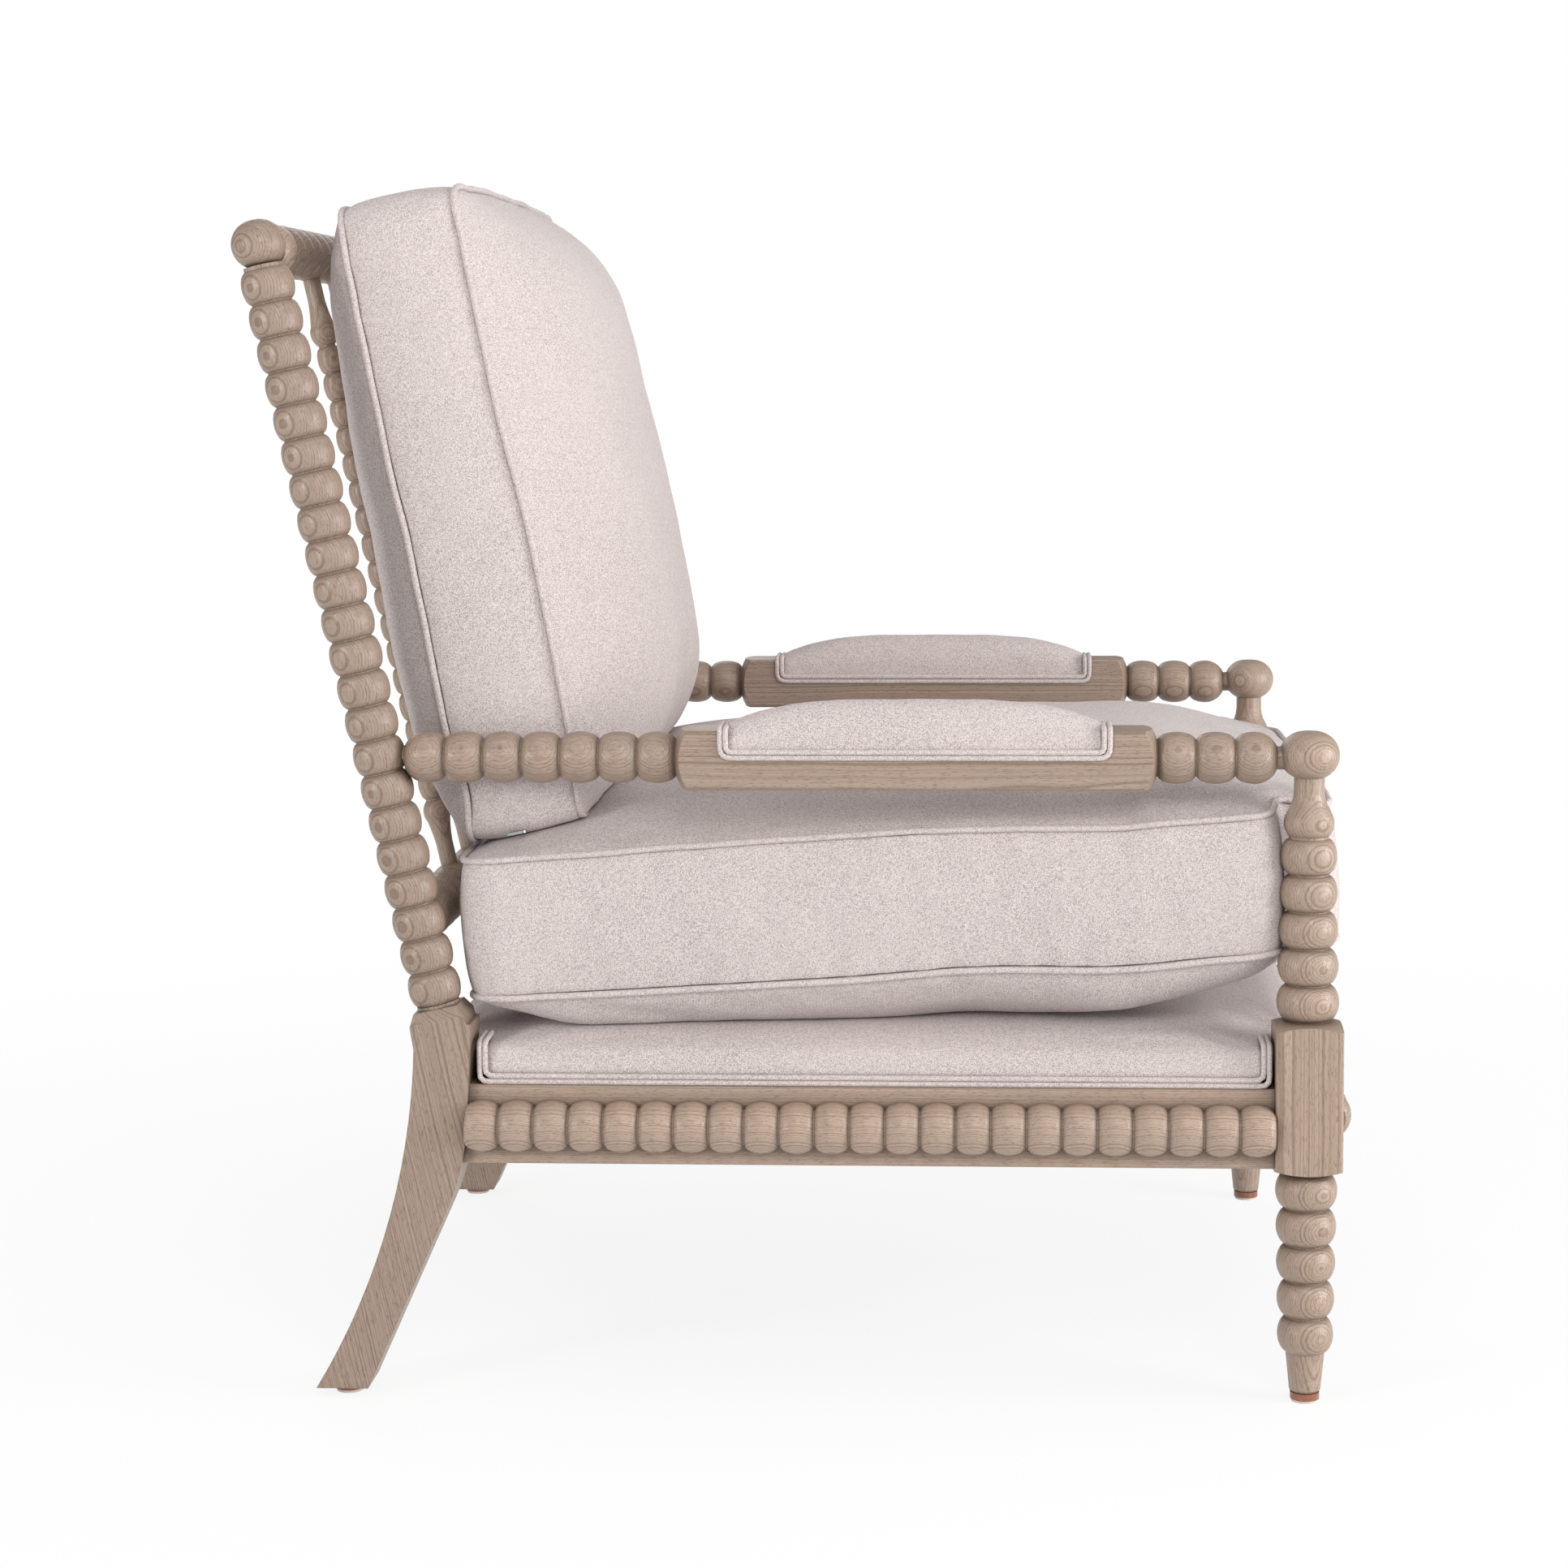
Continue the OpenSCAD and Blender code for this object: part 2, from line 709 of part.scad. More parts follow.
// Everything bored into the legs and rails for dowels and corner bolts
module frame_bores() {
  each_dowel(0.5);
  each_bolt() bar_x(bolt_r, bolt_len - 20);
}

// ---------- springs and covers ----------

module seat_spring(i) {
  y0 = front_rail_y + rail_t + 8;
  y1 = back_rail_y - rail_t - 8;
  bend_r = (y1 - y0) / spring_bends / 2;
  color(steel)
    translate([spring_x[i - 1], y0, spring_z]) {
      for (k = [0 : spring_bends])
        translate([-spring_bar / 2, 2 * bend_r * k, 0]) bar_x(wire_r, spring_bar);
      for (k = [0 : spring_bends - 1])
        translate([(k % 2 == 0 ? 1 : -1) * spring_bar / 2, bend_r * (2 * k + 1), 0])
          rotate([0, 0, k % 2 == 0 ? -90 : 90])
            rotate_extrude(angle = 180) translate([bend_r, 0]) circle(wire_r, $fn = 24);
    }
}

// Folded clips that hold the springs' end bars to the front and back rails
module spring_clips() {
  y0 = front_rail_y + rail_t;
  y1 = back_rail_y - rail_t;
  color(steel)
    for (x = spring_x, end = [0, 1])
      difference() {
        translate([x - clip_w / 2, end == 0 ? y0 : y1 - 12, spring_z - 4]) cube([clip_w, 12, 8]);
        translate([x - clip_w, end == 0 ? y0 + 8 : y1 - 8, spring_z]) bar_x(wire_r, 2 * clip_w);
      }
}

// Plan of the deck, cut away round the four legs, with its edges moved in by inset
module deck_plan(inset) {
  x0 = deck_x - inset;
  fx = front_leg_inner - deck_clear - inset;
  fy = front_leg_back + deck_clear + inset;
  rx = rear_leg_inner - deck_clear - inset;
  ry = deck_leg_y - inset;
  y0 = deck_y0 + inset;
  y1 = deck_y1 - inset;
  polygon([
    [-fx, y0], [fx, y0], [fx, fy], [x0, fy], [x0, ry], [rx, ry],
    [rx, y1], [-rx, y1], [-rx, ry], [-x0, ry], [-x0, fy], [-fx, fy]
  ]);
}

module spring_cover() {
  color(cloth_dark) translate([0, 0, rail_top]) linear_extrude(cover_t) deck_plan(5);
}

module deck_pad() {
  rise = 14;
  rx = arc_radius(deck_x, rise);
  ry = arc_radius(350, rise);
  top = rail_top + deck_h;
  color(cloth)
    intersection() {
      translate([0, 0, rail_top + cover_t]) linear_extrude(deck_h) deck_plan(0);
      translate([0, far / 2, top - rx]) rotate([90, 0, 0]) cylinder(r = rx, h = far, $fn = 300);
      translate([-far / 2, (deck_y0 + deck_y1) / 2, top - ry]) bar_x(ry, far, $fn = 300);
    }
}

// Double welt on a deck's edge: a flat band with a riser at each end, in the x-z plane
module welt_frame(len, rise) {
  w = 2 * welt_d;
  translate([0, welt_d, 0]) rotate([90, 0, 0]) linear_extrude(welt_d)
    difference() {
      translate([-len / 2, 0]) square([len, rise]);
      translate([-len / 2 + w, w]) square([len - 2 * w, rise]);
    }
}

module deck_welt_side(side) {
  y0 = front_leg_back + deck_clear;
  color(cloth)
    translate([side * deck_x, (y0 + deck_leg_y) / 2, rail_top])
      rotate([0, 0, -90 * side]) welt_frame(deck_leg_y - y0, deck_welt_rise);
}

module deck_welt_front() {
  color(cloth)
    translate([0, deck_y0 - welt_d, rail_top]) welt_frame(2 * (front_leg_inner - deck_clear), deck_welt_rise);
}

module deck_welt_back() {
  color(cloth) translate([0, deck_y1, rail_top]) welt_frame(2 * (rear_leg_inner - deck_clear), deck_welt_rise);
}

module dust_cover() {
  t = 1.2;
  color(cloth_dark) translate([0, 0, rail_z - t]) linear_extrude(t) deck_plan(10);
}

// ---------- arm pads ----------

module arm_pad(side) {
  w = arm_block_w - 2;
  edge = 2 * welt_d;
  y0 = pad_y0 + edge;
  y1 = pad_y1 - edge;
  mid = (y0 + y1) / 2;
  rise = 17;
  along = arc_radius((y1 - y0) / 2, rise);
  across = arc_radius(w / 2, rise);
  color(cloth)
    translate([side * half_x, 0, arm_z]) {
      intersection() {
        translate([-w / 2, y0, edge]) cube([w, y1 - y0, pad_crown - edge]);
        translate([-w, mid, pad_crown - along]) bar_x(along, 2 * w, $fn = 300);
        union() {
          translate([0, y0, pad_crown - across]) bar_y(across, y1 - y0);
          translate([-w, y0, 0]) cube([2 * w, y1 - y0, pad_crown - rise]);
        }
      }
      intersection() {
        pad_plug(edge + tiny);
        pad_notch_block();
      }
    }
}

// The part of an arm pad inside its welt, standing on the notch's floor
module pad_plug(h) {
  w = arm_block_w - 2 * welt_d;
  edge = 2 * welt_d;
  translate([-w / 2, pad_y0 + edge, 0]) cube([w, pad_y1 - pad_y0 - 2 * edge, h]);
}

// Everything above the pad notch's floor, across the arm block and a little beyond
module pad_notch_block() {
  translate([-arm_block_w, 0, 0]) rotate([90, 0, 90]) linear_extrude(2 * arm_block_w) pad_notch_outline();
}

// Double welt round an arm pad: along both sides and across both ends
module arm_pad_welt(side) {
  w = arm_block_w + 4;
  band = 2 * welt_d;
  rise = arm_block_w / 2 + 4;
  color(cloth)
    translate([side * half_x, 0, arm_z])
      difference() {
        translate([-w / 2, 0, 0]) rotate([90, 0, 90]) linear_extrude(w)
          difference() {
            intersection() {
              pad_notch_outline();
              translate([pad_y0, 0]) square([pad_y1 - pad_y0, rise]);
            }
            translate([pad_y0 + band, band]) square([pad_y1 - pad_y0 - 2 * band, far]);
          }
        translate([0, 0, -1]) pad_plug(band + 1 + tiny);
      }
}

// ---------- feet ----------

module foot_place(side, front) {
  translate([side * half_x, front ? front_leg_y : rear_foot_y, 0]) children();
}

module glide(side, front) {
  color([0.45, 0.25, 0.16])
    foot_place(side, front)
      difference() {
        translate([0, 0, felt_h]) cylinder(r = glide_r, h = glide_h - felt_h);
        translate([0, 0, felt_h + 1.5]) cylinder(r = nail_r, h = glide_h);
      }
}

module felt(side, front) {
  color([0.85, 0.8, 0.78]) foot_place(side, front) cylinder(r = felt_r, h = felt_h);
}

module glide_nails() {
  color(steel)
    for (side = [-1, 1], front = [true, false])
      foot_place(side, front) translate([0, 0, felt_h + 1.5]) cylinder(r = nail_r, h = nail_in);
}

// ---------- loose cushions ----------

// Plan of the seat cushion: narrower between the front legs, with cut corners
module seat_plan() {
  c = seat_corner;
  w = seat_half_w;
  t = seat_tongue_x;
  bow_r = arc_radius(t - c, seat_bow);
  intersection() {
    translate([0, seat_tongue_y - seat_bow + bow_r]) circle(bow_r, $fn = 300);
    translate([-t, seat_tongue_y - seat_bow]) square([2 * t, seat_bow + tiny]);
  }
  polygon([
    [-t + c, seat_tongue_y], [t - c, seat_tongue_y], [t, seat_tongue_y + c], [t, seat_y0], [w - c, seat_y0],
    [w, seat_y0 + c], [w, seat_y1 - c], [w - c, seat_y1], [-w + c, seat_y1], [-w, seat_y1 - c],
    [-w, seat_y0 + c], [-w + c, seat_y0], [-t, seat_y0], [-t, seat_tongue_y + c]
  ]);
}

module seat_shape() {
  half_l = (seat_y1 - seat_tongue_y) / 2;
  mid = (seat_y1 + seat_tongue_y) / 2;
  on_seat()
    intersection() {
      translate([0, 0, -200]) linear_extrude(400) seat_plan();
      translate([0, mid, 0])
        pillow(seat_half_w, half_l, seat_band / 2, seat_band / 2, seat_crown, seat_floor_crown);
    }
}

module seat_cushion() { color(cloth) seat_shape(); }

module back_plan() {
  c = 12;
  w = back_half_w;
  h = back_len / 2;
  polygon([
    [-w + c, -h], [w - c, -h], [w, -h + c], [w, h - c], [w - c, h], [-w + c, h], [-w, h - c], [-w, -h + c]
  ]);
}

module back_cushion() {
  color(cloth)
    difference() {
      on_back_cushion()
        rotate([90, 0, 0])
          intersection() {
            translate([0, 0, -200]) linear_extrude(500) back_plan();
            translate([0, 0, back_band / 2])
              pillow(back_half_w, back_len / 2, back_band / 2, back_band / 2, back_crown, back_rear_crown);
          }
      translate([0, 0, back_nest]) seat_shape();
      on_back_zip() zip_pull_blank();
    }
}

// Small metal pull of a cover's zip, lying flat
module zip_pull_blank() {
  linear_extrude(2) {
    translate([-3, 0]) square([6, 12]);
    circle(3);
  }
}

module zip_pull() {
  difference() {
    zip_pull_blank();
    translate([0, 0, -1]) cylinder(r = 1.4, h = 4);
  }
}

module seat_zip_pull() {
  color(steel) on_seat() translate([120, seat_y1 + 3, 0]) rotate([0, 90, 0]) rotate([90, 0, 0]) zip_pull();
}

// Place of the back cushion's pull: let into the edge of its side, just above the seam it closes
module on_back_zip() {
  on_back_cushion() translate([-back_half_w, -back_band / 2, -back_len / 2 + 3]) children();
}

module back_zip_pull() { color(steel) on_back_zip() zip_pull(); }

front_leg(1);  // front_leg_left
front_leg(-1);  // front_leg_right
rear_leg(1);  // rear_leg_left
rear_leg(-1);  // rear_leg_right
turned_back_rail(crest_s);  // crest_rail
turned_back_rail(lower_rail_s);  // lower_back_rail
back_spindle(1);  // back_spindle_1
back_spindle(2);  // back_spindle_2
back_spindle(3);  // back_spindle_3
back_spindle(4);  // back_spindle_4
arm(1);  // arm_left
arm(-1);  // arm_right
side_rail(1);  // side_rail_left
side_rail(-1);  // side_rail_right
front_rail();
back_rail();
side_moulding(1);  // side_moulding_left
side_moulding(-1);  // side_moulding_right
front_moulding();
corner_block(1, true);  // corner_block_front_left
corner_block(-1, true);  // corner_block_front_right
corner_block(1, false);  // corner_block_rear_left
corner_block(-1, false);  // corner_block_rear_right
corner_bolts();
rail_dowels();
seat_spring(1);  // seat_spring_1
seat_spring(2);  // seat_spring_2
seat_spring(3);  // seat_spring_3
seat_spring(4);  // seat_spring_4
spring_clips();
spring_cover();
deck_pad();
deck_welt_side(1);  // deck_welt_left
deck_welt_side(-1);  // deck_welt_right
deck_welt_front();
deck_welt_back();
dust_cover();
arm_pad(1);  // arm_pad_left
arm_pad(-1);  // arm_pad_right
arm_pad_welt(1);  // arm_pad_welt_left
arm_pad_welt(-1);  // arm_pad_welt_right
glide(1, true);  // glide_front_left
glide(-1, true);  // glide_front_right
glide(1, false);  // glide_rear_left
glide(-1, false);  // glide_rear_right
felt(1, true);  // felt_front_left
felt(-1, true);  // felt_front_right
felt(1, false);  // felt_rear_left
felt(-1, false);  // felt_rear_right
glide_nails();
seat_cushion();
seat_zip_pull();
back_cushion();
back_zip_pull();
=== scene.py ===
"""Bobbin-turned armchair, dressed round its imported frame. Metres, +Z up, the chair faces -Y."""

import math

import bpy
import numpy as np
from mathutils import Matrix, Vector, noise
from mathutils.bvhtree import BVHTree


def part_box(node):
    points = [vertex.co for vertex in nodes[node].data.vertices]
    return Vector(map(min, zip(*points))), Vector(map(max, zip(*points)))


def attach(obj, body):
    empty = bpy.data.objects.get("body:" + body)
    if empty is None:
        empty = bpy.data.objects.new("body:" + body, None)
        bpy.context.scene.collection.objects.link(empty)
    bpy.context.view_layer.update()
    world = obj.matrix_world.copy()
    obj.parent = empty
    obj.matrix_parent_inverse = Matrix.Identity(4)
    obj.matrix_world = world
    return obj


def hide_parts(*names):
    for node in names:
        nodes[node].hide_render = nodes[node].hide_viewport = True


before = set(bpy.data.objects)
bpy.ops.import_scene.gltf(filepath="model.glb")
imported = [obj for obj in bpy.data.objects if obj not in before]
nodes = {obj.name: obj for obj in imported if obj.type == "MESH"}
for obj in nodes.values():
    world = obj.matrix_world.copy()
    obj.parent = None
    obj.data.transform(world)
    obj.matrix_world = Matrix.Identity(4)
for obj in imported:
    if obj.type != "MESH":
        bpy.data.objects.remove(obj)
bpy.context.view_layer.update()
scene = bpy.context.scene

# Places repeated from the CAD source, in metres
HALF_X = 0.310  # middle of a leg or an arm from the chair's middle
ARM_Z = 0.508
FRONT_LEG_Y = -0.396
BACK_RAKE = math.radians(12.4)
BACK_AXIS_Y = 0.2164
WELT = 0.0044
RAIL_TOP = 0.251
SEAT_FRAME = Matrix.Translation((0, -0.049, 0.391)) @ Matrix.Rotation(math.radians(-3.45), 4, "X")
ON_BACK = Matrix.Translation((0, BACK_AXIS_Y, 0)) @ Matrix.Rotation(-BACK_RAKE, 4, "X")
BACK_FRAME = (
    ON_BACK
    @ Matrix.Translation((0, -0.0535, 0.690))
    @ Matrix.Rotation(math.radians(1.76), 4, "X")
    @ Matrix.Rotation(math.radians(90), 4, "X")
)

CORD = 0.0026  # radius of a cushion's welt cord
SEAM_SHADOW_RADIUS = 0.0004  # half the width of the painted shadow line beside a seam
SEAM_SHADOW_BESIDE = 0.0033  # from the middle of a welt to the painted shadow line beside its seam
HUB = 0.012  # size of the innermost ring of a panel, as a share of its outline
BAND_ROWS = 18  # rows of a side band
PANEL_RINGS = 30  # rings of a panel
RING_SPREAD = 0.77  # under 1 crowds a panel's rings towards its seam
CORNER_STEPS = 8  # straight pieces in a rounded corner
CLOTH_FRAMES = 20
SEAM_HOLD = 0.006  # the simulation holds the cover this close to its seams


# ---------- paths and meshes ----------


def rounded_path(corners, closed, step):
    """Points along straight lines whose corners, given as (point, radius), are rounded off."""
    count = len(corners)
    points = []
    for i, (corner, radius) in enumerate(corners):
        here = Vector(corner)
        if not closed and i in (0, count - 1):
            points.append(here)
            continue
        before = Vector(corners[i - 1][0])
        after = Vector(corners[(i + 1) % count][0])
        reach_in = min(radius, 0.49 * (before - here).length)
        reach_out = min(radius, 0.49 * (after - here).length)
        start = here + (before - here).normalized() * reach_in
        end = here + (after - here).normalized() * reach_out
        for k in range(CORNER_STEPS + 1):
            t = k / CORNER_STEPS
            points.append(start * (1 - t) ** 2 + here * 2 * t * (1 - t) + end * t * t)
    return resample(points, closed, step)


def resample(points, closed, step):
    """The same line with points at an even spacing near step."""
    line = np.array([tuple(p) for p in points])
    if closed:
        line = np.vstack([line, line[:1]])
    length = np.concatenate([[0], np.cumsum(np.linalg.norm(np.diff(line, axis=0), axis=1))])
    count = max(4, int(round(length[-1] / step)))
    at = np.linspace(0, length[-1], count + 1)
    even = np.stack([np.interp(at, length, line[:, k]) for k in range(line.shape[1])], axis=1)
    return even[:-1] if closed else even


def new_object(name, verts, faces, material):
    """A smooth-shaded mesh object with one material."""
    mesh = bpy.data.meshes.new(name)
    mesh.from_pydata([tuple(v) for v in verts], [], faces)
    mesh.update()
    mesh.shade_smooth()
    obj = bpy.data.objects.new(name, mesh)
    scene.collection.objects.link(obj)
    mesh.materials.append(material)
    return obj


def tube(name, paths, radius, material, closed=True, sides=12):
    """Round cords along paths, as one piece. Their ends are closed with small domes."""
    verts = []
    faces = []
    for path in paths:
        points = [Vector(p) for p in path]
        count = len(points)
        tangents = []
        for i in range(count):
            before = points[i - 1] if closed or i else points[0]
            after = points[(i + 1) % count] if closed or i < count - 1 else points[i]
            tangents.append((after - before).normalized())
        side = tangents[0].orthogonal().normalized()
        sides_at = [side]
        for i in range(1, count):
            side = tangents[i - 1].rotation_difference(tangents[i]) @ side
            side = (side - tangents[i] * side.dot(tangents[i])).normalized()
            sides_at.append(side)
        twist = 0.0
        if closed:
            back = tangents[-1].rotation_difference(tangents[0]) @ sides_at[-1]
            twist = math.atan2(back.cross(sides_at[0]).dot(tangents[0]), back.dot(sides_at[0]))
        rings = []
        for i in range(count):
            wobble = 1 + 0.035 * noise.noise(points[i] * 160)
            rings.append((points[i], tangents[i], sides_at[i], twist * i / count, radius * wobble))
        if not closed:
            first, last = rings[0], rings[-1]
            cap_steps = ((0.35, 0.94), (0.75, 0.66), (0.98, 0.2))
            head = []
            for along, size in reversed(cap_steps):
                head.append((first[0] - first[1] * radius * along, *first[1:4], radius * size))
            tail = []
            for along, size in cap_steps:
                tail.append((last[0] + last[1] * radius * along, *last[1:4], radius * size))
            rings = head + rings + tail
        base = len(verts)
        for point, tangent, side, turn, size in rings:
            up = tangent.cross(side)
            for k in range(sides):
                angle = 2 * math.pi * k / sides + turn
                verts.append(point + (side * math.cos(angle) + up * math.sin(angle)) * size)
        total = len(rings)
        for i in range(total if closed else total - 1):
            j = (i + 1) % total
            for k in range(sides):
                m = (k + 1) % sides
                here, there = base + i * sides, base + j * sides
                faces.append((here + k, here + m, there + m, there + k))
        if not closed:
            faces.append(tuple(base + k for k in reversed(range(sides))))
            faces.append(tuple(base + (total - 1) * sides + k for k in range(sides)))
    return new_object(name, verts, faces, material)


def plan_outline(corners, step=0.006):
    """Closed outline seen from above, from corners given as (x, y, radius)."""
    return rounded_path([((x, y, 0), r) for x, y, r in corners], True, step)[:, :2]


def outward(outline):
    """Unit normals that point out of a closed plan outline drawn anticlockwise."""
    along = np.roll(outline, -1, axis=0) - np.roll(outline, 1, axis=0)
    along /= np.linalg.norm(along, axis=1)[:, None]
    return np.stack([along[:, 1], -along[:, 0]], axis=1)


def pillow_mesh(name, outline, top, floor, bulge, material):
    """Closed form over a plan outline: two panels, whose heights are functions, and a side band."""
    count = len(outline)
    normals = outward(outline)
    centre = (outline.min(axis=0) + outline.max(axis=0)) / 2
    verts = []
    for k in range(PANEL_RINGS + 1):
        reach = max(HUB, (k / PANEL_RINGS) ** RING_SPREAD)
        for x, y in centre + (outline - centre) * reach:
            verts.append((x, y, floor(x, y)))
    for k in range(1, BAND_ROWS):
        t = k / BAND_ROWS
        for (x, y), (nx, ny) in zip(outline, normals):
            low, high = floor(x, y), top(x, y)
            push = bulge * math.sin(math.pi * t) ** 0.85
            verts.append((x + nx * push, y + ny * push, low + (high - low) * t))
    for k in range(PANEL_RINGS + 1):
        reach = max(HUB, (1 - k / PANEL_RINGS) ** RING_SPREAD)
        for x, y in centre + (outline - centre) * reach:
            verts.append((x, y, top(x, y)))
    total = len(verts) // count
    faces = []
    for r in range(total - 1):
        for i in range(count):
            j = (i + 1) % count
            faces.append((r * count + i, r * count + j, (r + 1) * count + j, (r + 1) * count + i))
    faces.append(tuple(reversed(range(count))))
    faces.append(tuple((total - 1) * count + i for i in range(count)))
    return new_object(name, verts, faces, material)


def coords(obj):
    values = np.zeros(len(obj.data.vertices) * 3)
    obj.data.vertices.foreach_get("co", values)
    return values.reshape(-1, 3)


def set_coords(obj, values):
    obj.data.vertices.foreach_set("co", values.astype(np.float32).ravel())
    obj.data.update()


def normals_of(obj):
    values = np.zeros(len(obj.data.vertices) * 3)
    obj.data.vertices.foreach_get("normal", values)
    return values.reshape(-1, 3)


def smooth(obj, rounds, factor=0.5):
    """Evens out a mesh by moving each vertex towards the mean of its neighbours."""
    edges = np.zeros(len(obj.data.edges) * 2, int)
    obj.data.edges.foreach_get("vertices", edges)
    a, b = edges.reshape(-1, 2).T
    points = coords(obj)
    degree = np.bincount(np.concatenate([a, b]), minlength=len(points))[:, None]
    for _ in range(rounds):
        total = np.zeros_like(points)
        for k in range(3):
            total[:, k] = np.bincount(a, points[b, k], len(points))
            total[:, k] += np.bincount(b, points[a, k], len(points))
        points = points + (total / degree - points) * factor
    set_coords(obj, points)


def remesh(obj, voxel):
    """Replaces the mesh with an even skin of quads of about voxel size."""
    modifier = obj.modifiers.new("Remesh", "REMESH")
    modifier.mode = "VOXEL"
    modifier.voxel_size = voxel
    graph = bpy.context.evaluated_depsgraph_get()
    skin = bpy.data.meshes.new_from_object(obj.evaluated_get(graph))
    obj.modifiers.clear()
    material = obj.data.materials[0]
    obj.data = skin
    obj.data.materials.clear()
    obj.data.materials.append(material)
    obj.data.shade_smooth()


def distance_to(points, lines):
    """Distance from each point to the nearest sample of any line."""
    samples = np.vstack(lines)
    nearest = np.full(len(points), 1e9)
    for start in range(0, len(points), 2000):
        part = points[start : start + 2000]
        gaps = np.linalg.norm(part[:, None, :] - samples[None, :, :], axis=2)
        nearest[start : start + 2000] = gaps.min(axis=1)
    return nearest


def puff(obj, seams, cap, pressure=4.0, slack=0.0):
    """Fills the cover by cloth simulation. The seams stay put, and no point moves further than cap."""
    rest = coords(obj)
    held = distance_to(rest, seams) < SEAM_HOLD
    group = obj.vertex_groups.new(name="seams")
    group.add([int(i) for i in np.nonzero(held)[0]], 1.0, "REPLACE")
    cloth = obj.modifiers.new("Cloth", "CLOTH")
    settings = cloth.settings
    settings.quality = 5
    settings.mass = 0.3
    settings.tension_stiffness = 25
    settings.compression_stiffness = 25
    settings.shear_stiffness = 8
    settings.bending_stiffness = 0.4
    settings.use_pressure = True
    settings.uniform_pressure_force = pressure
    settings.shrink_min = -slack
    settings.effector_weights.gravity = 0
    settings.vertex_group_mass = "seams"
    settings.pin_stiffness = 1
    cloth.collision_settings.use_collision = False
    cloth.point_cache.frame_start = 1
    cloth.point_cache.frame_end = CLOTH_FRAMES
    for number in range(1, CLOTH_FRAMES + 1):
        scene.frame_set(number)
    graph = bpy.context.evaluated_depsgraph_get()
    filled = bpy.data.meshes.new_from_object(obj.evaluated_get(graph))
    after = np.zeros(len(filled.vertices) * 3)
    filled.vertices.foreach_get("co", after)
    obj.modifiers.clear()
    obj.vertex_groups.clear()
    bpy.data.meshes.remove(filled)
    scene.frame_set(1)
    move = after.reshape(-1, 3) - rest
    size = np.linalg.norm(move, axis=1)
    limited = cap * np.tanh(size / cap)
    set_coords(obj, rest + move * (limited / np.maximum(size, 1e-9))[:, None])


def sew_in(obj, seams, reach, depth):
    """Draws the cover in along its seams, so that each welt sits in a shallow valley."""
    points = coords(obj)
    near = np.clip(1 - distance_to(points, seams) / reach, 0, 1)
    set_coords(obj, points - normals_of(obj) * (depth * near**2)[:, None])


def rumple(obj, height, length):
    """Gives the cloth the slight unevenness of a filled cover."""
    points = coords(obj)
    lift = [noise.fractal(Vector(p) / length, 0.6, 2.1, 3) for p in points]
    set_coords(obj, points + normals_of(obj) * (height * np.array(lift))[:, None])


def pucker(obj, seams, height, length, reach):
    """Short soft creases that run away from the seams and fade out over reach."""
    points = coords(obj)
    fade = np.clip(1 - distance_to(points, seams) / reach, 0, 1) ** 1.5
    lift = [noise.noise(Vector((p[0] / length, p[1] / length, 2.5 * p[2]))) for p in points]
    set_coords(obj, points + normals_of(obj) * (height * fade * np.array(lift))[:, None])


def smooth_path(points, rounds):
    """Evens out a closed line by averaging each point with its neighbours."""
    line = np.array([tuple(p) for p in points])
    for _ in range(rounds):
        line = (np.roll(line, 1, axis=0) + 2 * line + np.roll(line, -1, axis=0)) / 4
    return line


def rest_on(obj, matrix, tree, axis, gap):
    """Presses a soft piece flat where it would sink into the one below it."""
    local = coords(obj)
    away = matrix.to_3x3().inverted() @ axis
    probe = axis * 0.2
    for i, point in enumerate(local):
        world = matrix @ Vector(point)
        hit = tree.ray_cast(world + probe, -axis, 0.4)
        if hit[0] is None:
            continue
        depth = (hit[0] - world).dot(axis) + gap
        if 0 < depth < 0.12:
            local[i] += np.array(away * depth)
    set_coords(obj, local)


def cushion_welt(name, cover, plan, height):
    """Welt cord along one seam of a cushion, laid close on the finished cover."""
    tree = BVHTree.FromObject(cover, bpy.context.evaluated_depsgraph_get())
    path = []
    for (x, y), (nx, ny) in zip(plan, outward(plan)):
        sway = 0.0007 * noise.noise(Vector((x * 14, y * 14, height(x, y) * 14)))
        wanted = Vector((x, y, height(x, y) + sway)) + Vector((nx, ny, 0)) * CORD
        spot, normal = tree.find_nearest(wanted)[:2]
        reach = (wanted - spot).dot(normal)
        path.append(spot + normal * min(max(reach, CORD * 0.5), CORD * 0.9))
    return tube(name, [smooth_path(path, 4)], CORD, linen_welt)


def seam_shadow_line(name, cover, plan, height):
    """Painted shadow: a thin dark cord on the side band beside its welt, standing in for the shadow in the
    seam's gap, laid on the finished cover.
    """
    tree = BVHTree.FromObject(cover, bpy.context.evaluated_depsgraph_get())
    path = []
    for (x, y), (nx, ny) in zip(plan, outward(plan)):
        away = Vector((nx, ny, 0))
        hit = tree.ray_cast(Vector((x, y, height(x, y))) + away * 0.03, -away, 0.06)[0]
        if hit is not None:
            path.append(hit + away * SEAM_SHADOW_RADIUS * 0.2)
    return tube(name, [smooth_path(path, 3)], SEAM_SHADOW_RADIUS, seam_shadow, sides=8)


def subdivide(obj):
    """Adds the one subdivision that a finished cover gets."""
    modifier = obj.modifiers.new("Subdivision", "SUBSURF")
    modifier.levels = 1
    modifier.render_levels = 1


def rise(distance, reach, power):
    """Runs from 0 at a seam to 1 at reach from it, steepest at the seam."""
    q = max(0.0, min(1.0, distance / reach))
    return 1 - (1 - q) ** power


def ease(t):
    """Runs smoothly from 0 to 1 as t does."""
    t = max(0.0, min(1.0, t))
    return t * t * (3 - 2 * t)


def bell(distance, width):
    """Is 1 at distance 0 and fades out over a few widths."""
    return math.exp(-((distance / width) ** 2))


def place(obj, matrix):
    """Moves a mesh from its own frame to the chair's."""
    obj.data.transform(matrix)
    obj.data.update()


# ---------- materials ----------


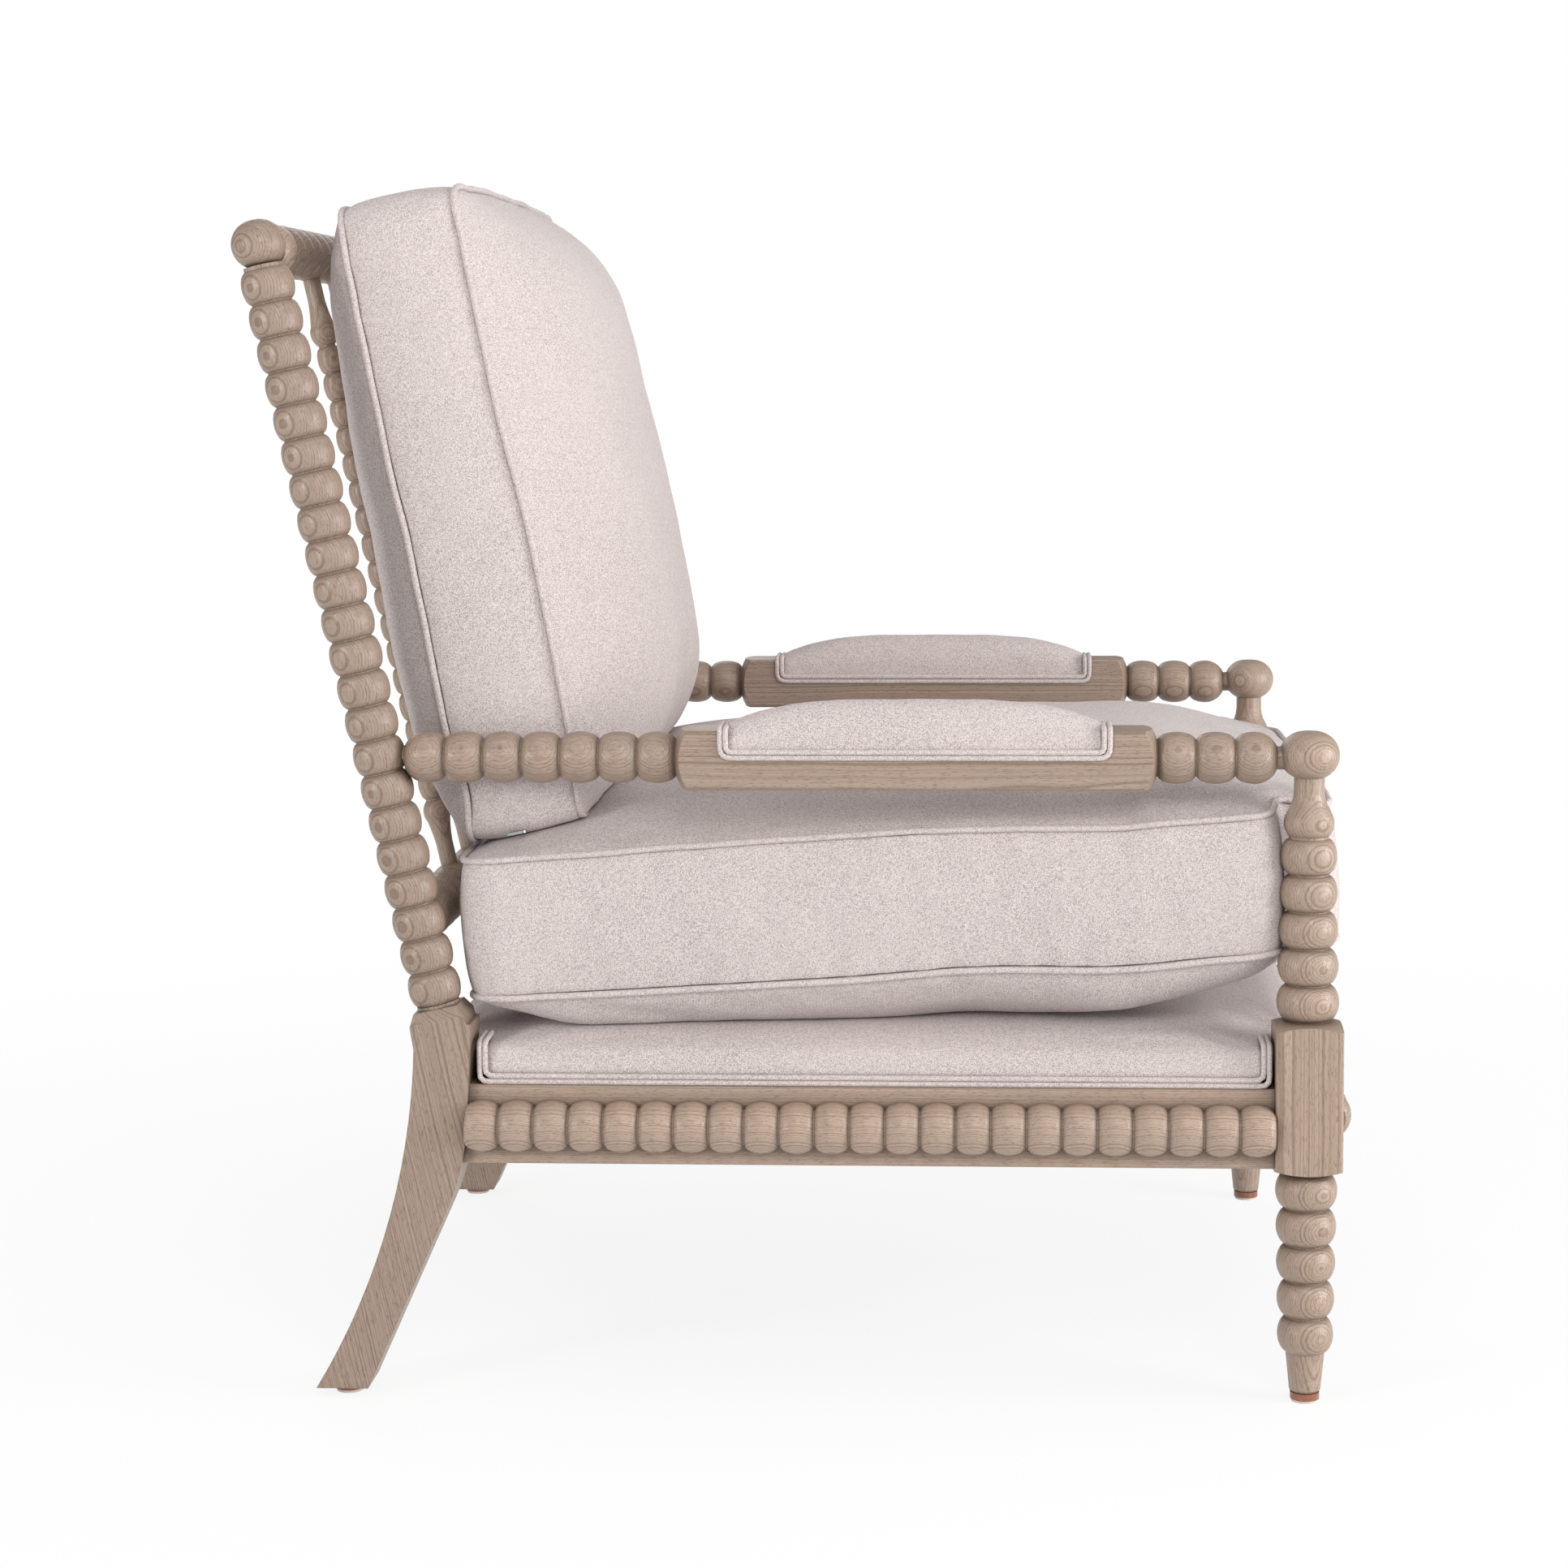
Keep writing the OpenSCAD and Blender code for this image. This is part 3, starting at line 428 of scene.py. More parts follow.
class Nodes:
    """Short-hand for building a material's node tree."""

    def __init__(self, name):
        self.material = bpy.data.materials.new(name)
        self.material.use_nodes = True
        self.tree = self.material.node_tree
        self.shader = self.tree.nodes["Principled BSDF"]

    def add(self, kind, inputs=None, **settings):
        node = self.tree.nodes.new(kind)
        for key, value in settings.items():
            setattr(node, key, value)
        for key, value in (inputs or {}).items():
            if isinstance(value, bpy.types.NodeSocket):
                self.tree.links.new(value, node.inputs[key])
            else:
                node.inputs[key].default_value = value
        return node

    def math(self, operation, a, b=0.0, clamp=False):
        node = self.add("ShaderNodeMath", {0: a, 1: b}, operation=operation)
        node.use_clamp = clamp
        return node.outputs[0]

    def ramp(self, factor, stops):
        node = self.add("ShaderNodeValToRGB", {"Fac": factor})
        elements = node.color_ramp.elements
        for i, (at, colour) in enumerate(stops):
            element = elements[i] if i < 2 else elements.new(at)
            element.position = at
            element.color = (*colour, 1) if isinstance(colour, tuple) else (colour, colour, colour, 1)
        return node.outputs[0]

    def mix(self, factor, a, b, blend="MIX"):
        node = self.add("ShaderNodeMix", data_type="RGBA", blend_type=blend)
        for key, value in ((0, factor), (6, a), (7, b)):
            if isinstance(value, bpy.types.NodeSocket):
                self.tree.links.new(value, node.inputs[key])
            elif key == 0:
                node.inputs[key].default_value = value
            else:
                node.inputs[key].default_value = (*value, 1)
        return node.outputs[2]

    def noise(self, vector, scale, detail=2.0, roughness=0.5):
        inputs = {"Vector": vector, "Scale": scale, "Detail": detail, "Roughness": roughness}
        return self.add("ShaderNodeTexNoise", inputs).outputs[0]

    def stretched(self, vector, scale):
        return self.add("ShaderNodeMapping", {"Vector": vector, "Scale": scale}).outputs[0]

    def finish(self, colour, height, distance, roughness, strength=1.0, normal=None):
        bump_inputs = {"Height": height, "Distance": distance, "Strength": strength}
        if normal is not None:
            bump_inputs["Normal"] = normal
        bump = self.add("ShaderNodeBump", bump_inputs)
        self.tree.links.new(colour, self.shader.inputs["Base Color"])
        self.tree.links.new(roughness, self.shader.inputs["Roughness"])
        self.tree.links.new(bump.outputs[0], self.shader.inputs["Normal"])
        return self.material


def cloth_material(name, light, dark):
    """Linen twill: a fine grain, a close diagonal rib, dark flecks, a few slubs and a soft tonal drift."""
    n = Nodes(name)
    place_at = n.add("ShaderNodeTexCoord").outputs["Object"]
    grain = n.noise(place_at, 1450, 1.0, 0.6)
    across = n.noise(n.stretched(place_at, (0.3, 0.3, 1)), 1400, 1.0, 0.5)
    upright = n.noise(n.stretched(place_at, (1, 1, 0.3)), 1400, 1.0, 0.5)
    threads = n.math("MULTIPLY", n.math("ADD", across, upright), 0.5)
    weave = n.math("ADD", n.math("MULTIPLY", threads, 0.45), n.math("MULTIPLY", grain, 0.55))
    twill = n.add(
        "ShaderNodeTexWave",
        {"Vector": place_at, "Scale": 300, "Distortion": 1.6, "Detail": 1.0, "Detail Scale": 2.0},
        wave_type="BANDS",
        bands_direction="DIAGONAL",
    ).outputs[1]
    drift = n.noise(place_at, 4, 2)
    slub = n.ramp(n.noise(n.stretched(place_at, (1, 1, 0.15)), 600, 1), ((0.68, 0.0), (0.76, 1.0)))
    fleck = n.ramp(n.noise(place_at, 900, 0.0), ((0.70, 0.0), (0.76, 1.0)))
    tone = n.ramp(weave, ((0.42, dark), (0.55, light)))
    tone = n.mix(n.math("MULTIPLY", slub, 0.18), tone, tuple(0.7 * c for c in dark))
    tone = n.mix(n.math("MULTIPLY", fleck, 0.30), tone, tuple(0.6 * c for c in dark))
    tone = n.mix(n.math("MULTIPLY", n.math("SUBTRACT", 1.0, twill), 0.30), tone, dark)
    warm = tuple(c * k for c, k in zip(light, (0.95, 0.93, 0.93)))
    tone = n.mix(n.math("MULTIPLY", n.ramp(drift, ((0.35, 0.0), (0.7, 1.0))), 0.25), tone, warm)
    height = n.math("ADD", n.math("MULTIPLY", weave, 1.2), n.math("MULTIPLY", twill, 0.5))
    rough = n.ramp(weave, ((0.3, 0.96), (0.7, 0.84)))
    n.shader.inputs["Sheen Weight"].default_value = 0.12
    n.shader.inputs["Sheen Roughness"].default_value = 0.5
    n.shader.inputs["Specular IOR Level"].default_value = 0.2
    return n.finish(tone, height, 0.0004, rough, 0.6)


def oak_material(name, along, pith, lean=0.0, tone_and_painted_light=1.0, ring_gap=0.0011, soft_edge=0.0):
    """Weathered oak: rings round a distant pith line, dark pores, a grey wash and painted shade in the
    grooves; a per-piece factor scales every colour, painting light and shade onto some pieces.
    """
    n = Nodes(name)
    place_at = n.add("ShaderNodeTexCoord").outputs["Object"]
    turned = {"X": (0, math.radians(90), 0), "Y": (math.radians(90), 0, 0), "Z": (lean, 0, 0)}[along]
    shifted = {"Vector": place_at, "Location": pith}
    centred = n.add("ShaderNodeMapping", shifted, vector_type="POINT").outputs[0]
    local = n.add("ShaderNodeMapping", {"Vector": centred, "Rotation": turned}).outputs[0]
    drift_inputs = {"Vector": n.stretched(local, (1, 1, 0.3)), "Scale": 17, "Detail": 2.0}
    drift = n.add("ShaderNodeTexNoise", drift_inputs)
    shift = n.add("ShaderNodeVectorMath", {0: drift.outputs[1], 1: (0.5, 0.5, 0.5)}, operation="SUBTRACT")
    shift = n.add("ShaderNodeVectorMath", {0: shift.outputs[0], "Scale": 0.0045}, operation="SCALE")
    bent = n.add("ShaderNodeVectorMath", {0: local, 1: shift.outputs[0]}, operation="ADD").outputs[0]
    level = n.add("ShaderNodeVectorMath", {0: bent, 1: (1, 1, 0)}, operation="MULTIPLY").outputs[0]
    reach = n.add("ShaderNodeVectorMath", {0: level}, operation="LENGTH").outputs["Value"]
    ring_inputs = {"W": reach, "Scale": 1 / ring_gap, "Detail": 2.5, "Roughness": 0.7}
    rings = n.add("ShaderNodeTexNoise", ring_inputs, noise_dimensions="1D").outputs[0]
    pores = n.noise(n.stretched(local, (1, 1, 0.16)), 1250, 1.0, 0.5)
    fibre = n.noise(n.stretched(local, (1, 1, 0.03)), 520, 3, 0.6)
    patches = n.noise(n.stretched(local, (1, 1, 0.35)), 30, 3)
    line = n.ramp(rings, ((0.46, 0.0), (0.64, 1.0)))
    pore = n.ramp(pores, ((0.58, 0.0), (0.68, 1.0)))
    # Every colour is scaled by the per-piece factor. Above 1 on the rails and side mouldings, it is painted
    # light where the seat shades them. Below 1 on the rear legs and arms, it is painted shade where the
    # lamps light them strongly.
    pale = tuple(c * tone_and_painted_light for c in (0.385, 0.284, 0.220))
    base = n.mix(n.ramp(fibre, ((0.3, 0.0), (0.7, 1.0))), tuple(c * 0.82 for c in pale), pale)
    grey = tuple(c * tone_and_painted_light for c in (0.315, 0.244, 0.196))
    base = n.mix(n.math("MULTIPLY", n.ramp(patches, ((0.40, 0.0), (0.62, 1.0))), 0.5), base, grey)
    brown = tuple(c * tone_and_painted_light for c in (0.190, 0.124, 0.082))
    base = n.mix(n.math("MULTIPLY", line, 0.70), base, brown)
    base = n.mix(n.math("MULTIPLY", pore, 0.45), base, tuple(c * 0.62 for c in brown))
    # Painted shade: ambient occlusion darkens the colour in the grooves between the beads, where shade
    # falls.
    groove_occlusion = n.add("ShaderNodeAmbientOcclusion", {"Distance": 0.014}, samples=8).outputs["AO"]
    painted_groove_shade = n.ramp(groove_occlusion, ((0.32, 1.0), (0.94, 0.0)))
    base = n.mix(n.math("MULTIPLY", painted_groove_shade, 0.80), base, tuple(c * 0.5 for c in brown))
    height = n.math("SUBTRACT", n.math("MULTIPLY", fibre, 0.5), n.math("MULTIPLY", pore, 0.8))
    height = n.math("SUBTRACT", height, n.math("MULTIPLY", line, 0.25))
    rough = n.ramp(fibre, ((0.3, 0.46), (0.7, 0.36)))
    n.shader.inputs["Specular IOR Level"].default_value = 0.5
    normal = None
    if soft_edge:
        normal = n.add("ShaderNodeBevel", {"Radius": soft_edge}, samples=4).outputs[0]
    return n.finish(base, height, 0.00025, rough, 0.6, normal)


def plain_material(name, colour, scale, spread, roughness, bump, metallic=0.0):
    """Small hidden or hardware pieces: a tone that varies, with a fine surface texture."""
    n = Nodes(name)
    place_at = n.add("ShaderNodeTexCoord").outputs["Object"]
    grain = n.noise(place_at, scale, 4, 0.6)
    broad = n.noise(place_at, scale * 0.06, 2)
    dark = tuple(c * (1 - spread) for c in colour)
    tone = n.mix(n.ramp(grain, ((0.35, 0.0), (0.65, 1.0))), dark, colour)
    tone = n.mix(n.math("MULTIPLY", broad, 0.3), tone, dark)
    rough = n.ramp(grain, ((0.3, roughness), (0.7, roughness * 0.85)))
    n.shader.inputs["Metallic"].default_value = metallic
    return n.finish(tone, grain, bump, rough, 0.5)


linen = cloth_material("linen", (0.655, 0.585, 0.570), (0.300, 0.256, 0.248))
linen_welt = cloth_material("linen_welt", (0.665, 0.593, 0.578), (0.315, 0.268, 0.259))
# Painted shadow: the dark colour of the cords that stand in for the shade in the seams' gaps.
seam_shadow = plain_material("seam_shadow", (0.12, 0.095, 0.090), 900, 0.4, 0.95, 0.0003)
steel = plain_material("steel", (0.52, 0.52, 0.53), 900, 0.25, 0.34, 0.00005, 1.0)
glide_brown = plain_material("glide_brown", (0.30, 0.115, 0.060), 300, 0.35, 0.30, 0.00008)
felt = plain_material("felt", (0.68, 0.60, 0.57), 1600, 0.30, 0.95, 0.0005)
lining = plain_material("lining", (0.045, 0.045, 0.050), 1100, 0.45, 0.90, 0.0003)
raw_wood = oak_material("raw_wood", "X", (0.03, 0.09, 0.02), tone_and_painted_light=1.15, ring_gap=0.004)


def wear(name, material):
    """Gives a CAD node its finish."""
    mesh = nodes[name].data
    mesh.materials.clear()
    mesh.materials.append(material)


def beside(x, y, z, dx=0.0, dy=0.0, dz=0.0):
    """Mapping offset that puts the pith at a point near a piece."""
    return (-(x + dx), -(y + dy), -(z + dz))


# The factors after the pith paint light and shade per piece: the rails and side mouldings are lighter, and
# the rear legs and arms are darker.
for sign, side in ((1, "left"), (-1, "right")):
    pith = beside(sign * HALF_X, FRONT_LEG_Y, 0, dx=-sign * 0.072, dy=0.036)
    wear(f"front_leg_{side}", oak_material(f"oak_front_leg_{side}", "Z", pith, soft_edge=0.0009))
    pith = beside(sign * HALF_X, BACK_AXIS_Y, 0, dx=-sign * 0.068, dy=-0.042)
    leg_oak = oak_material(f"oak_rear_leg_{side}", "Z", pith, BACK_RAKE, 0.87, soft_edge=0.0009)
    wear(f"rear_leg_{side}", leg_oak)
    pith = beside(sign * HALF_X, 0, ARM_Z, dx=-sign * 0.070, dz=-0.034)
    wear(f"arm_{side}", oak_material(f"oak_arm_{side}", "Y", pith, tone_and_painted_light=0.90, soft_edge=0.0009))
    pith = beside(sign * 0.33, 0, 0.22, dx=sign * 0.006, dz=-0.095)
    wear(f"side_rail_{side}", oak_material(f"oak_side_rail_{side}", "Y", pith, tone_and_painted_light=1.14, soft_edge=0.0009))
    pith = beside(sign * 0.33, 0, 0.22, dx=-sign * 0.036, dz=0.075)
    wear(f"side_moulding_{side}", oak_material(f"oak_side_moulding_{side}", "Y", pith, tone_and_painted_light=1.10))
pith = beside(0, -0.41, 0.22, dy=0.01, dz=-0.09)
for name in ("front_rail", "back_rail"):
    wear(name, oak_material(f"oak_{name}", "X", pith, soft_edge=0.0009))
wear("front_moulding", oak_material("oak_front_moulding", "X", beside(0, -0.41, 0.22, dz=0.06), tone_and_painted_light=0.96))
wear("crest_rail", oak_material("oak_crest_rail", "X", beside(0, 0.415, 0.906, dy=0.03, dz=0.02)))
wear("lower_back_rail", oak_material("oak_lower_back_rail", "X", beside(0, 0.30, 0.379, dy=0.03, dz=0.02)))
for number in range(1, 5):
    low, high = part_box(f"back_spindle_{number}")
    pith = beside((low.x + high.x) / 2, BACK_AXIS_Y, 0, dx=0.02, dy=0.012)
    wear(f"back_spindle_{number}", oak_material(f"oak_spindle_{number}", "Z", pith, BACK_RAKE))
for end in ("front", "rear"):
    for side in ("left", "right"):
        wear(f"corner_block_{end}_{side}", raw_wood)
        wear(f"glide_{end}_{side}", glide_brown)
        wear(f"felt_{end}_{side}", felt)
wear("rail_dowels", raw_wood)
for name in ("corner_bolts", "spring_clips", "glide_nails", "seat_zip_pull", "back_zip_pull"):
    wear(name, steel)
for number in range(1, 5):
    wear(f"seat_spring_{number}", steel)
wear("spring_cover", lining)
wear("dust_cover", lining)


# ---------- deck ----------

DECK_X = 0.322
DECK_FRONT = -0.408
DECK_BACK = 0.296
DECK_CROWN = 0.292
DECK_EDGE = 0.281
LEG_GAP_FRONT = -0.368
LEG_GAP_REAR = 0.253
DECK_NECK = 0.282
DECK_REAR_NECK = 0.286

half_deck = (
    (DECK_NECK, DECK_FRONT, 0.008),
    (DECK_NECK, LEG_GAP_FRONT, 0.004),
    (DECK_X, LEG_GAP_FRONT, 0.007),
    (DECK_X, LEG_GAP_REAR, 0.007),
    (DECK_REAR_NECK, LEG_GAP_REAR, 0.004),
    (DECK_REAR_NECK, DECK_BACK, 0.007),
)
deck_corners = list(half_deck) + [(-x, y, r) for x, y, r in reversed(half_deck)]


def deck_top(x, y):
    """Height of the deck's upper face: low and rolled at the edges, gently domed in the middle."""
    side = rise(DECK_X - abs(x), 0.10, 2.2)
    front = rise(y - DECK_FRONT, 0.12, 2.2)
    back = rise(DECK_BACK - y, 0.12, 2.2)
    return DECK_EDGE + (DECK_CROWN - DECK_EDGE) * min(side, front, back)


def deck_floor(x, y):
    """The deck's underside, just above the rails."""
    return RAIL_TOP + 0.0018


deck_plan = plan_outline(deck_corners)
deck = pillow_mesh("deck", deck_plan, deck_top, deck_floor, 0.0015, linen)
remesh(deck, 0.005)
smooth(deck, 8)
deck_seam = [np.array([(x, y, RAIL_TOP + 0.005) for x, y in deck_plan])]
puff(deck, deck_seam, 0.0035, 2.0)
smooth(deck, 2)
rumple(deck, 0.0006, 0.07)
subdivide(deck)

DECK_WELT_OUT = 0.0012
WELT_BEND = 0.006


def edge_welts(name, ends, outer, wrap, horizontal):
    """Double welt along a deck's lower edge, turned up at both ends and over the top beside the legs."""
    cords = []
    for lane in (0, 1):
        inset = WELT * (lane + 0.5)
        low, high = RAIL_TOP + inset, DECK_EDGE + 0.0035
        first, last = ends[0] + inset, ends[1] - inset
        line = [
            ((first, outer - wrap, DECK_EDGE + 0.004), 0),
            ((first, outer, high), WELT_BEND),
            ((first, outer, low), WELT_BEND),
            ((last, outer, low), WELT_BEND),
            ((last, outer, high), WELT_BEND),
            ((last, outer - wrap, DECK_EDGE + 0.004), 0),
        ]
        points = rounded_path(line, False, 0.004)
        if horizontal:
            cords.append([(a, -b, c) for a, b, c in points])
        else:
            cords.append([(b, a, c) for a, b, c in points])
    return tube(name, cords, WELT / 2, linen_welt, closed=False)


deck_side = (LEG_GAP_FRONT, LEG_GAP_REAR)
welt_left = edge_welts("deck_welt_cord_left", deck_side, DECK_X + DECK_WELT_OUT, 0.034, False)
welt_right = edge_welts("deck_welt_cord_right", deck_side, DECK_X + DECK_WELT_OUT, 0.034, False)
place(welt_right, Matrix.Scale(-1, 4, (1, 0, 0)))
welt_right.data.flip_normals()
welt_front = edge_welts("deck_welt_cord_front", (-0.2825, 0.2825), -DECK_FRONT + DECK_WELT_OUT, 0.036, True)
welt_back = edge_welts("deck_welt_cord_back", (-0.2865, 0.2865), DECK_BACK + DECK_WELT_OUT, 0.036, True)
place(welt_back, Matrix.Scale(-1, 4, (0, 1, 0)))
welt_back.data.flip_normals()

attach(deck, "frame")
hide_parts("deck_pad")
for piece, node in (
    (welt_left, "deck_welt_left"),
    (welt_right, "deck_welt_right"),
    (welt_front, "deck_welt_front"),
    (welt_back, "deck_welt_back"),
):
    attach(piece, "frame")
    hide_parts(node)


# ---------- arm pads ----------

PAD_Y0 = -0.244
PAD_Y1 = 0.061
PAD_HALF = 0.0215
PAD_EDGE = 0.015
PAD_END = 0.0265
PAD_CROWN = 0.0455
PAD_CORNER = 0.011
PAD_CORD_X = 0.0232  # the cords lie beside the pad
PAD_CORD_TOP = 0.0248  # and over the arm's block at its ends
PAD_FIRST = PAD_Y0 + 1.3 * WELT
PAD_LAST = PAD_Y1 - 1.3 * WELT


def pad_top(x, y):
    """Upper face of an arm pad above the arm's centre line."""
    to_end = min(y - PAD_FIRST, PAD_LAST - y)
    spine = PAD_END + (PAD_CROWN - PAD_END) * rise(to_end, 0.120, 3.0)
    across = 1 - min(1.0, abs(x) / PAD_HALF) ** 3.0
    return PAD_EDGE + (spine - PAD_EDGE) * (0.25 + 0.75 * across)


def pad_floor(x, y):
    """The pad's underside, just above its notch."""
    return 0.0015


def pad_cords(lane):
    """Loop of one welt cord round a pad: along the notch on both faces and over the block at both ends."""
    inset = WELT * (lane + 0.5)
    x, z_top = PAD_CORD_X, PAD_CORD_TOP
    y0, y1 = PAD_Y0 + inset, PAD_Y1 - inset
    r = PAD_CORNER - inset
    line = [
        ((x, y1, z_top), WELT_BEND),
        ((x, y1, inset), r),
        ((x, y0, inset), r),
        ((x, y0, z_top), WELT_BEND),
        ((-x, y0, z_top), WELT_BEND),
        ((-x, y0, inset), r),
        ((-x, y1, inset), r),
        ((-x, y1, z_top), WELT_BEND),
    ]
    return rounded_path(line, True, 0.003)


pad_plan = plan_outline(
    [
        (PAD_HALF, PAD_FIRST, 0.003),
        (PAD_HALF, PAD_LAST, 0.003),
        (-PAD_HALF, PAD_LAST, 0.003),
        (-PAD_HALF, PAD_FIRST, 0.003),
    ],
    0.004,
)
for sign, side in ((1, "left"), (-1, "right")):
    pad = pillow_mesh(f"pad_{side}", pad_plan, pad_top, pad_floor, 0.0005, linen)
    remesh(pad, 0.003)
    smooth(pad, 5)
    pad_seam = [np.array([(x, y, h) for x, y in pad_plan for h in (0.003, 0.006, 0.009)])]
    puff(pad, pad_seam, 0.0025, 2.0)
    smooth(pad, 2)
    rumple(pad, 0.0004, 0.045)
    subdivide(pad)
    cords = tube(f"pad_welt_cord_{side}", [pad_cords(0), pad_cords(1)], WELT / 2, linen_welt)
    for piece in (pad, cords):
        place(piece, Matrix.Translation((sign * HALF_X, 0, ARM_Z)))
        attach(piece, "frame")
    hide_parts(f"arm_pad_{side}")
    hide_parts(f"arm_pad_welt_{side}")


# ---------- seat cushion ----------

SEAT_HALF = 0.316
TONGUE_HALF = 0.2775
SEAT_EAR_Y = -0.326
SEAT_FRONT = -0.372
SEAT_REAR = 0.315
SEAT_SEAM = 0.0563
SEAT_CROWN = 0.046
SEAT_FLOOR = 0.037


def seat_half_at(y):
    """Half width of the seat cushion: narrower between the front legs."""
    return TONGUE_HALF + (SEAT_HALF - TONGUE_HALF) * ease((y - SEAT_EAR_Y + 0.02) / 0.05)


def seat_front_at(x):
    """Front edge of the seat cushion, bowed forwards in the middle."""
    return SEAT_FRONT - 0.006 * math.cos(min(1.0, abs(x) / TONGUE_HALF) * math.pi / 2)


def seat_seam_top(x, y):
    """The upper seam lifts where it turns in behind each front leg and sags a little before that."""
    notch = math.hypot(abs(x) - TONGUE_HALF, y - SEAT_EAR_Y)
    lift = 0.009 * bell(notch, 0.026)
    sag = 0.0035 * bell(y + 0.195, 0.06)
    return SEAT_SEAM + lift + 0.0015 * math.cos(y * 9) - sag


def seat_seam_floor(x, y):
    """The lower seam, lifted a little at mid depth and sagging behind the front leg."""
    return -SEAT_SEAM - 0.0014 + 0.0026 * bell(y + 0.075, 0.06) - 0.003 * bell(y + 0.20, 0.05)


def seat_top(x, y):
    """The crowned upper panel."""
    side = rise(seat_half_at(y) - abs(x), 0.19, 1.75)
    front = rise(y - seat_front_at(x), 0.16, 1.6)
    back = rise(SEAT_REAR - y, 0.16, 1.9)
    return seat_seam_top(x, y) + SEAT_CROWN * side * front * back


def seat_floor(x, y):
    """The lower panel, which swells down to the deck."""
    side = rise(seat_half_at(y) - abs(x), 0.036, 2.1)
    front = rise(y - seat_front_at(x), 0.20, 1.8)
    back = rise(SEAT_REAR - y, 0.13, 2.0)
    return seat_seam_floor(x, y) - SEAT_FLOOR * side * front * back


half_seat = [
    (TONGUE_HALF * 0.5, SEAT_FRONT - 0.0045, 0.10),
    (TONGUE_HALF, SEAT_FRONT + 0.0005, 0.026),
    (TONGUE_HALF - 0.001, SEAT_EAR_Y, 0.008),
    (SEAT_HALF, SEAT_EAR_Y, 0.014),
    (SEAT_HALF - 0.005, 0.0, 0.20),
    (SEAT_HALF, SEAT_REAR, 0.026),
    (SEAT_HALF * 0.4, SEAT_REAR - 0.004, 0.10),
]
seat_plan = plan_outline(half_seat + [(-x, y, r) for x, y, r in reversed(half_seat)])
seat_seams = [
    np.array([(x, y, seat_seam_top(x, y)) for x, y in seat_plan]),
    np.array([(x, y, seat_seam_floor(x, y)) for x, y in seat_plan]),
]
seat = pillow_mesh("seat_cover", seat_plan, seat_top, seat_floor, 0.0035, linen)
remesh(seat, 0.006)
smooth(seat, 2)
puff(seat, seat_seams, 0.010, 4.0, 0.004)
smooth(seat, 3)
sew_in(seat, seat_seams, 0.011, 0.0012)
rumple(seat, 0.0011, 0.075)
pucker(seat, seat_seams, 0.0022, 0.016, 0.055)

deck_tree = BVHTree.FromObject(deck, bpy.context.evaluated_depsgraph_get())
rest_on(seat, SEAT_FRAME, deck_tree, Vector((0, 0, 1)), 0.0006)
smooth(seat, 1)

seat_welts = [
    cushion_welt("seat_welt_top", seat, seat_plan, seat_seam_top),
    cushion_welt("seat_welt_floor", seat, seat_plan, seat_seam_floor),
]
# Painted shadow lines on the side band beside the welts, where the seams' gaps are shaded.
seat_seam_shadows = [
    seam_shadow_line("seat_seam_top", seat, seat_plan, lambda x, y: seat_seam_top(x, y) - SEAM_SHADOW_BESIDE),
    seam_shadow_line("seat_seam_floor", seat, seat_plan, lambda x, y: seat_seam_floor(x, y) + SEAM_SHADOW_BESIDE),
]
for piece in [seat] + seat_welts + seat_seam_shadows:
    place(piece, SEAT_FRAME)
subdivide(seat)


# ---------- back cushion ----------

BACK_HALF = 0.281
BACK_END = 0.2555
BACK_THICK = 0.0925
BACK_SEAM_REAR = -0.0025
BACK_CROWN = 0.0695
BACK_REAR = 0.024
BACK_REAR_SIDE = 0.009


def back_seam_front(x, y):
    """The front seam leans out below the middle, where the cushion is fullest."""
    return BACK_THICK + 0.0065 * ease((0.09 - y) / 0.13) - 0.004 * bell(y + BACK_END, 0.035)


def back_seam_rear(x, y):
    """The rear seam is drawn forwards near the foot of the cushion."""
    return BACK_SEAM_REAR + 0.003 * ease((0.055 - y) / 0.06) + 0.007 * bell(y + 0.213, 0.026)


def back_half_at(y):
    """Half width of the back cushion: a little narrower at mid height."""
    return BACK_HALF - 0.004 * bell(y, 0.16)


def back_top(x, y):
    """The crowned front panel, fullest towards its foot."""
    side = rise(back_half_at(y) - abs(x), 0.20, 2.3)
    upper = rise(BACK_END - y, 0.175, 4.1)
    lower = rise(BACK_END + y, 0.105, 2.35)
    return back_seam_front(x, y) + BACK_CROWN * side * upper * lower


def back_floor(x, y):
    """The rear panel is fullest beside the spindles, where nothing holds it."""
    side = rise(back_half_at(y) - abs(x), 0.034, 2.1)
    upper = rise(BACK_END - y, 0.080, 1.9)
    lower = rise(BACK_END + y, 0.062, 1.9)
    crown = BACK_REAR + BACK_REAR_SIDE * ease((abs(x) - 0.155) / 0.05) * ease(0.7 - y / 0.4)
    return back_seam_rear(x, y) - crown * side * upper * lower


half_back = [
    (BACK_HALF * 0.45, -BACK_END + 0.002, 0.10),
    (BACK_HALF, -BACK_END, 0.024),
    (BACK_HALF - 0.005, 0.0, 0.16),
    (BACK_HALF, BACK_END, 0.024),
    (BACK_HALF * 0.45, BACK_END + 0.003, 0.10),
]
back_plan = plan_outline(half_back + [(-x, y, r) for x, y, r in reversed(half_back)])
back_seams = [
    np.array([(x, y, back_seam_front(x, y)) for x, y in back_plan]),
    np.array([(x, y, back_seam_rear(x, y)) for x, y in back_plan]),
]
back = pillow_mesh("back_cover", back_plan, back_top, back_floor, 0.0045, linen)
remesh(back, 0.006)
smooth(back, 2)
puff(back, back_seams, 0.010, 4.0, 0.004)
smooth(back, 3)
sew_in(back, back_seams, 0.011, 0.0012)
rumple(back, 0.0012, 0.085)
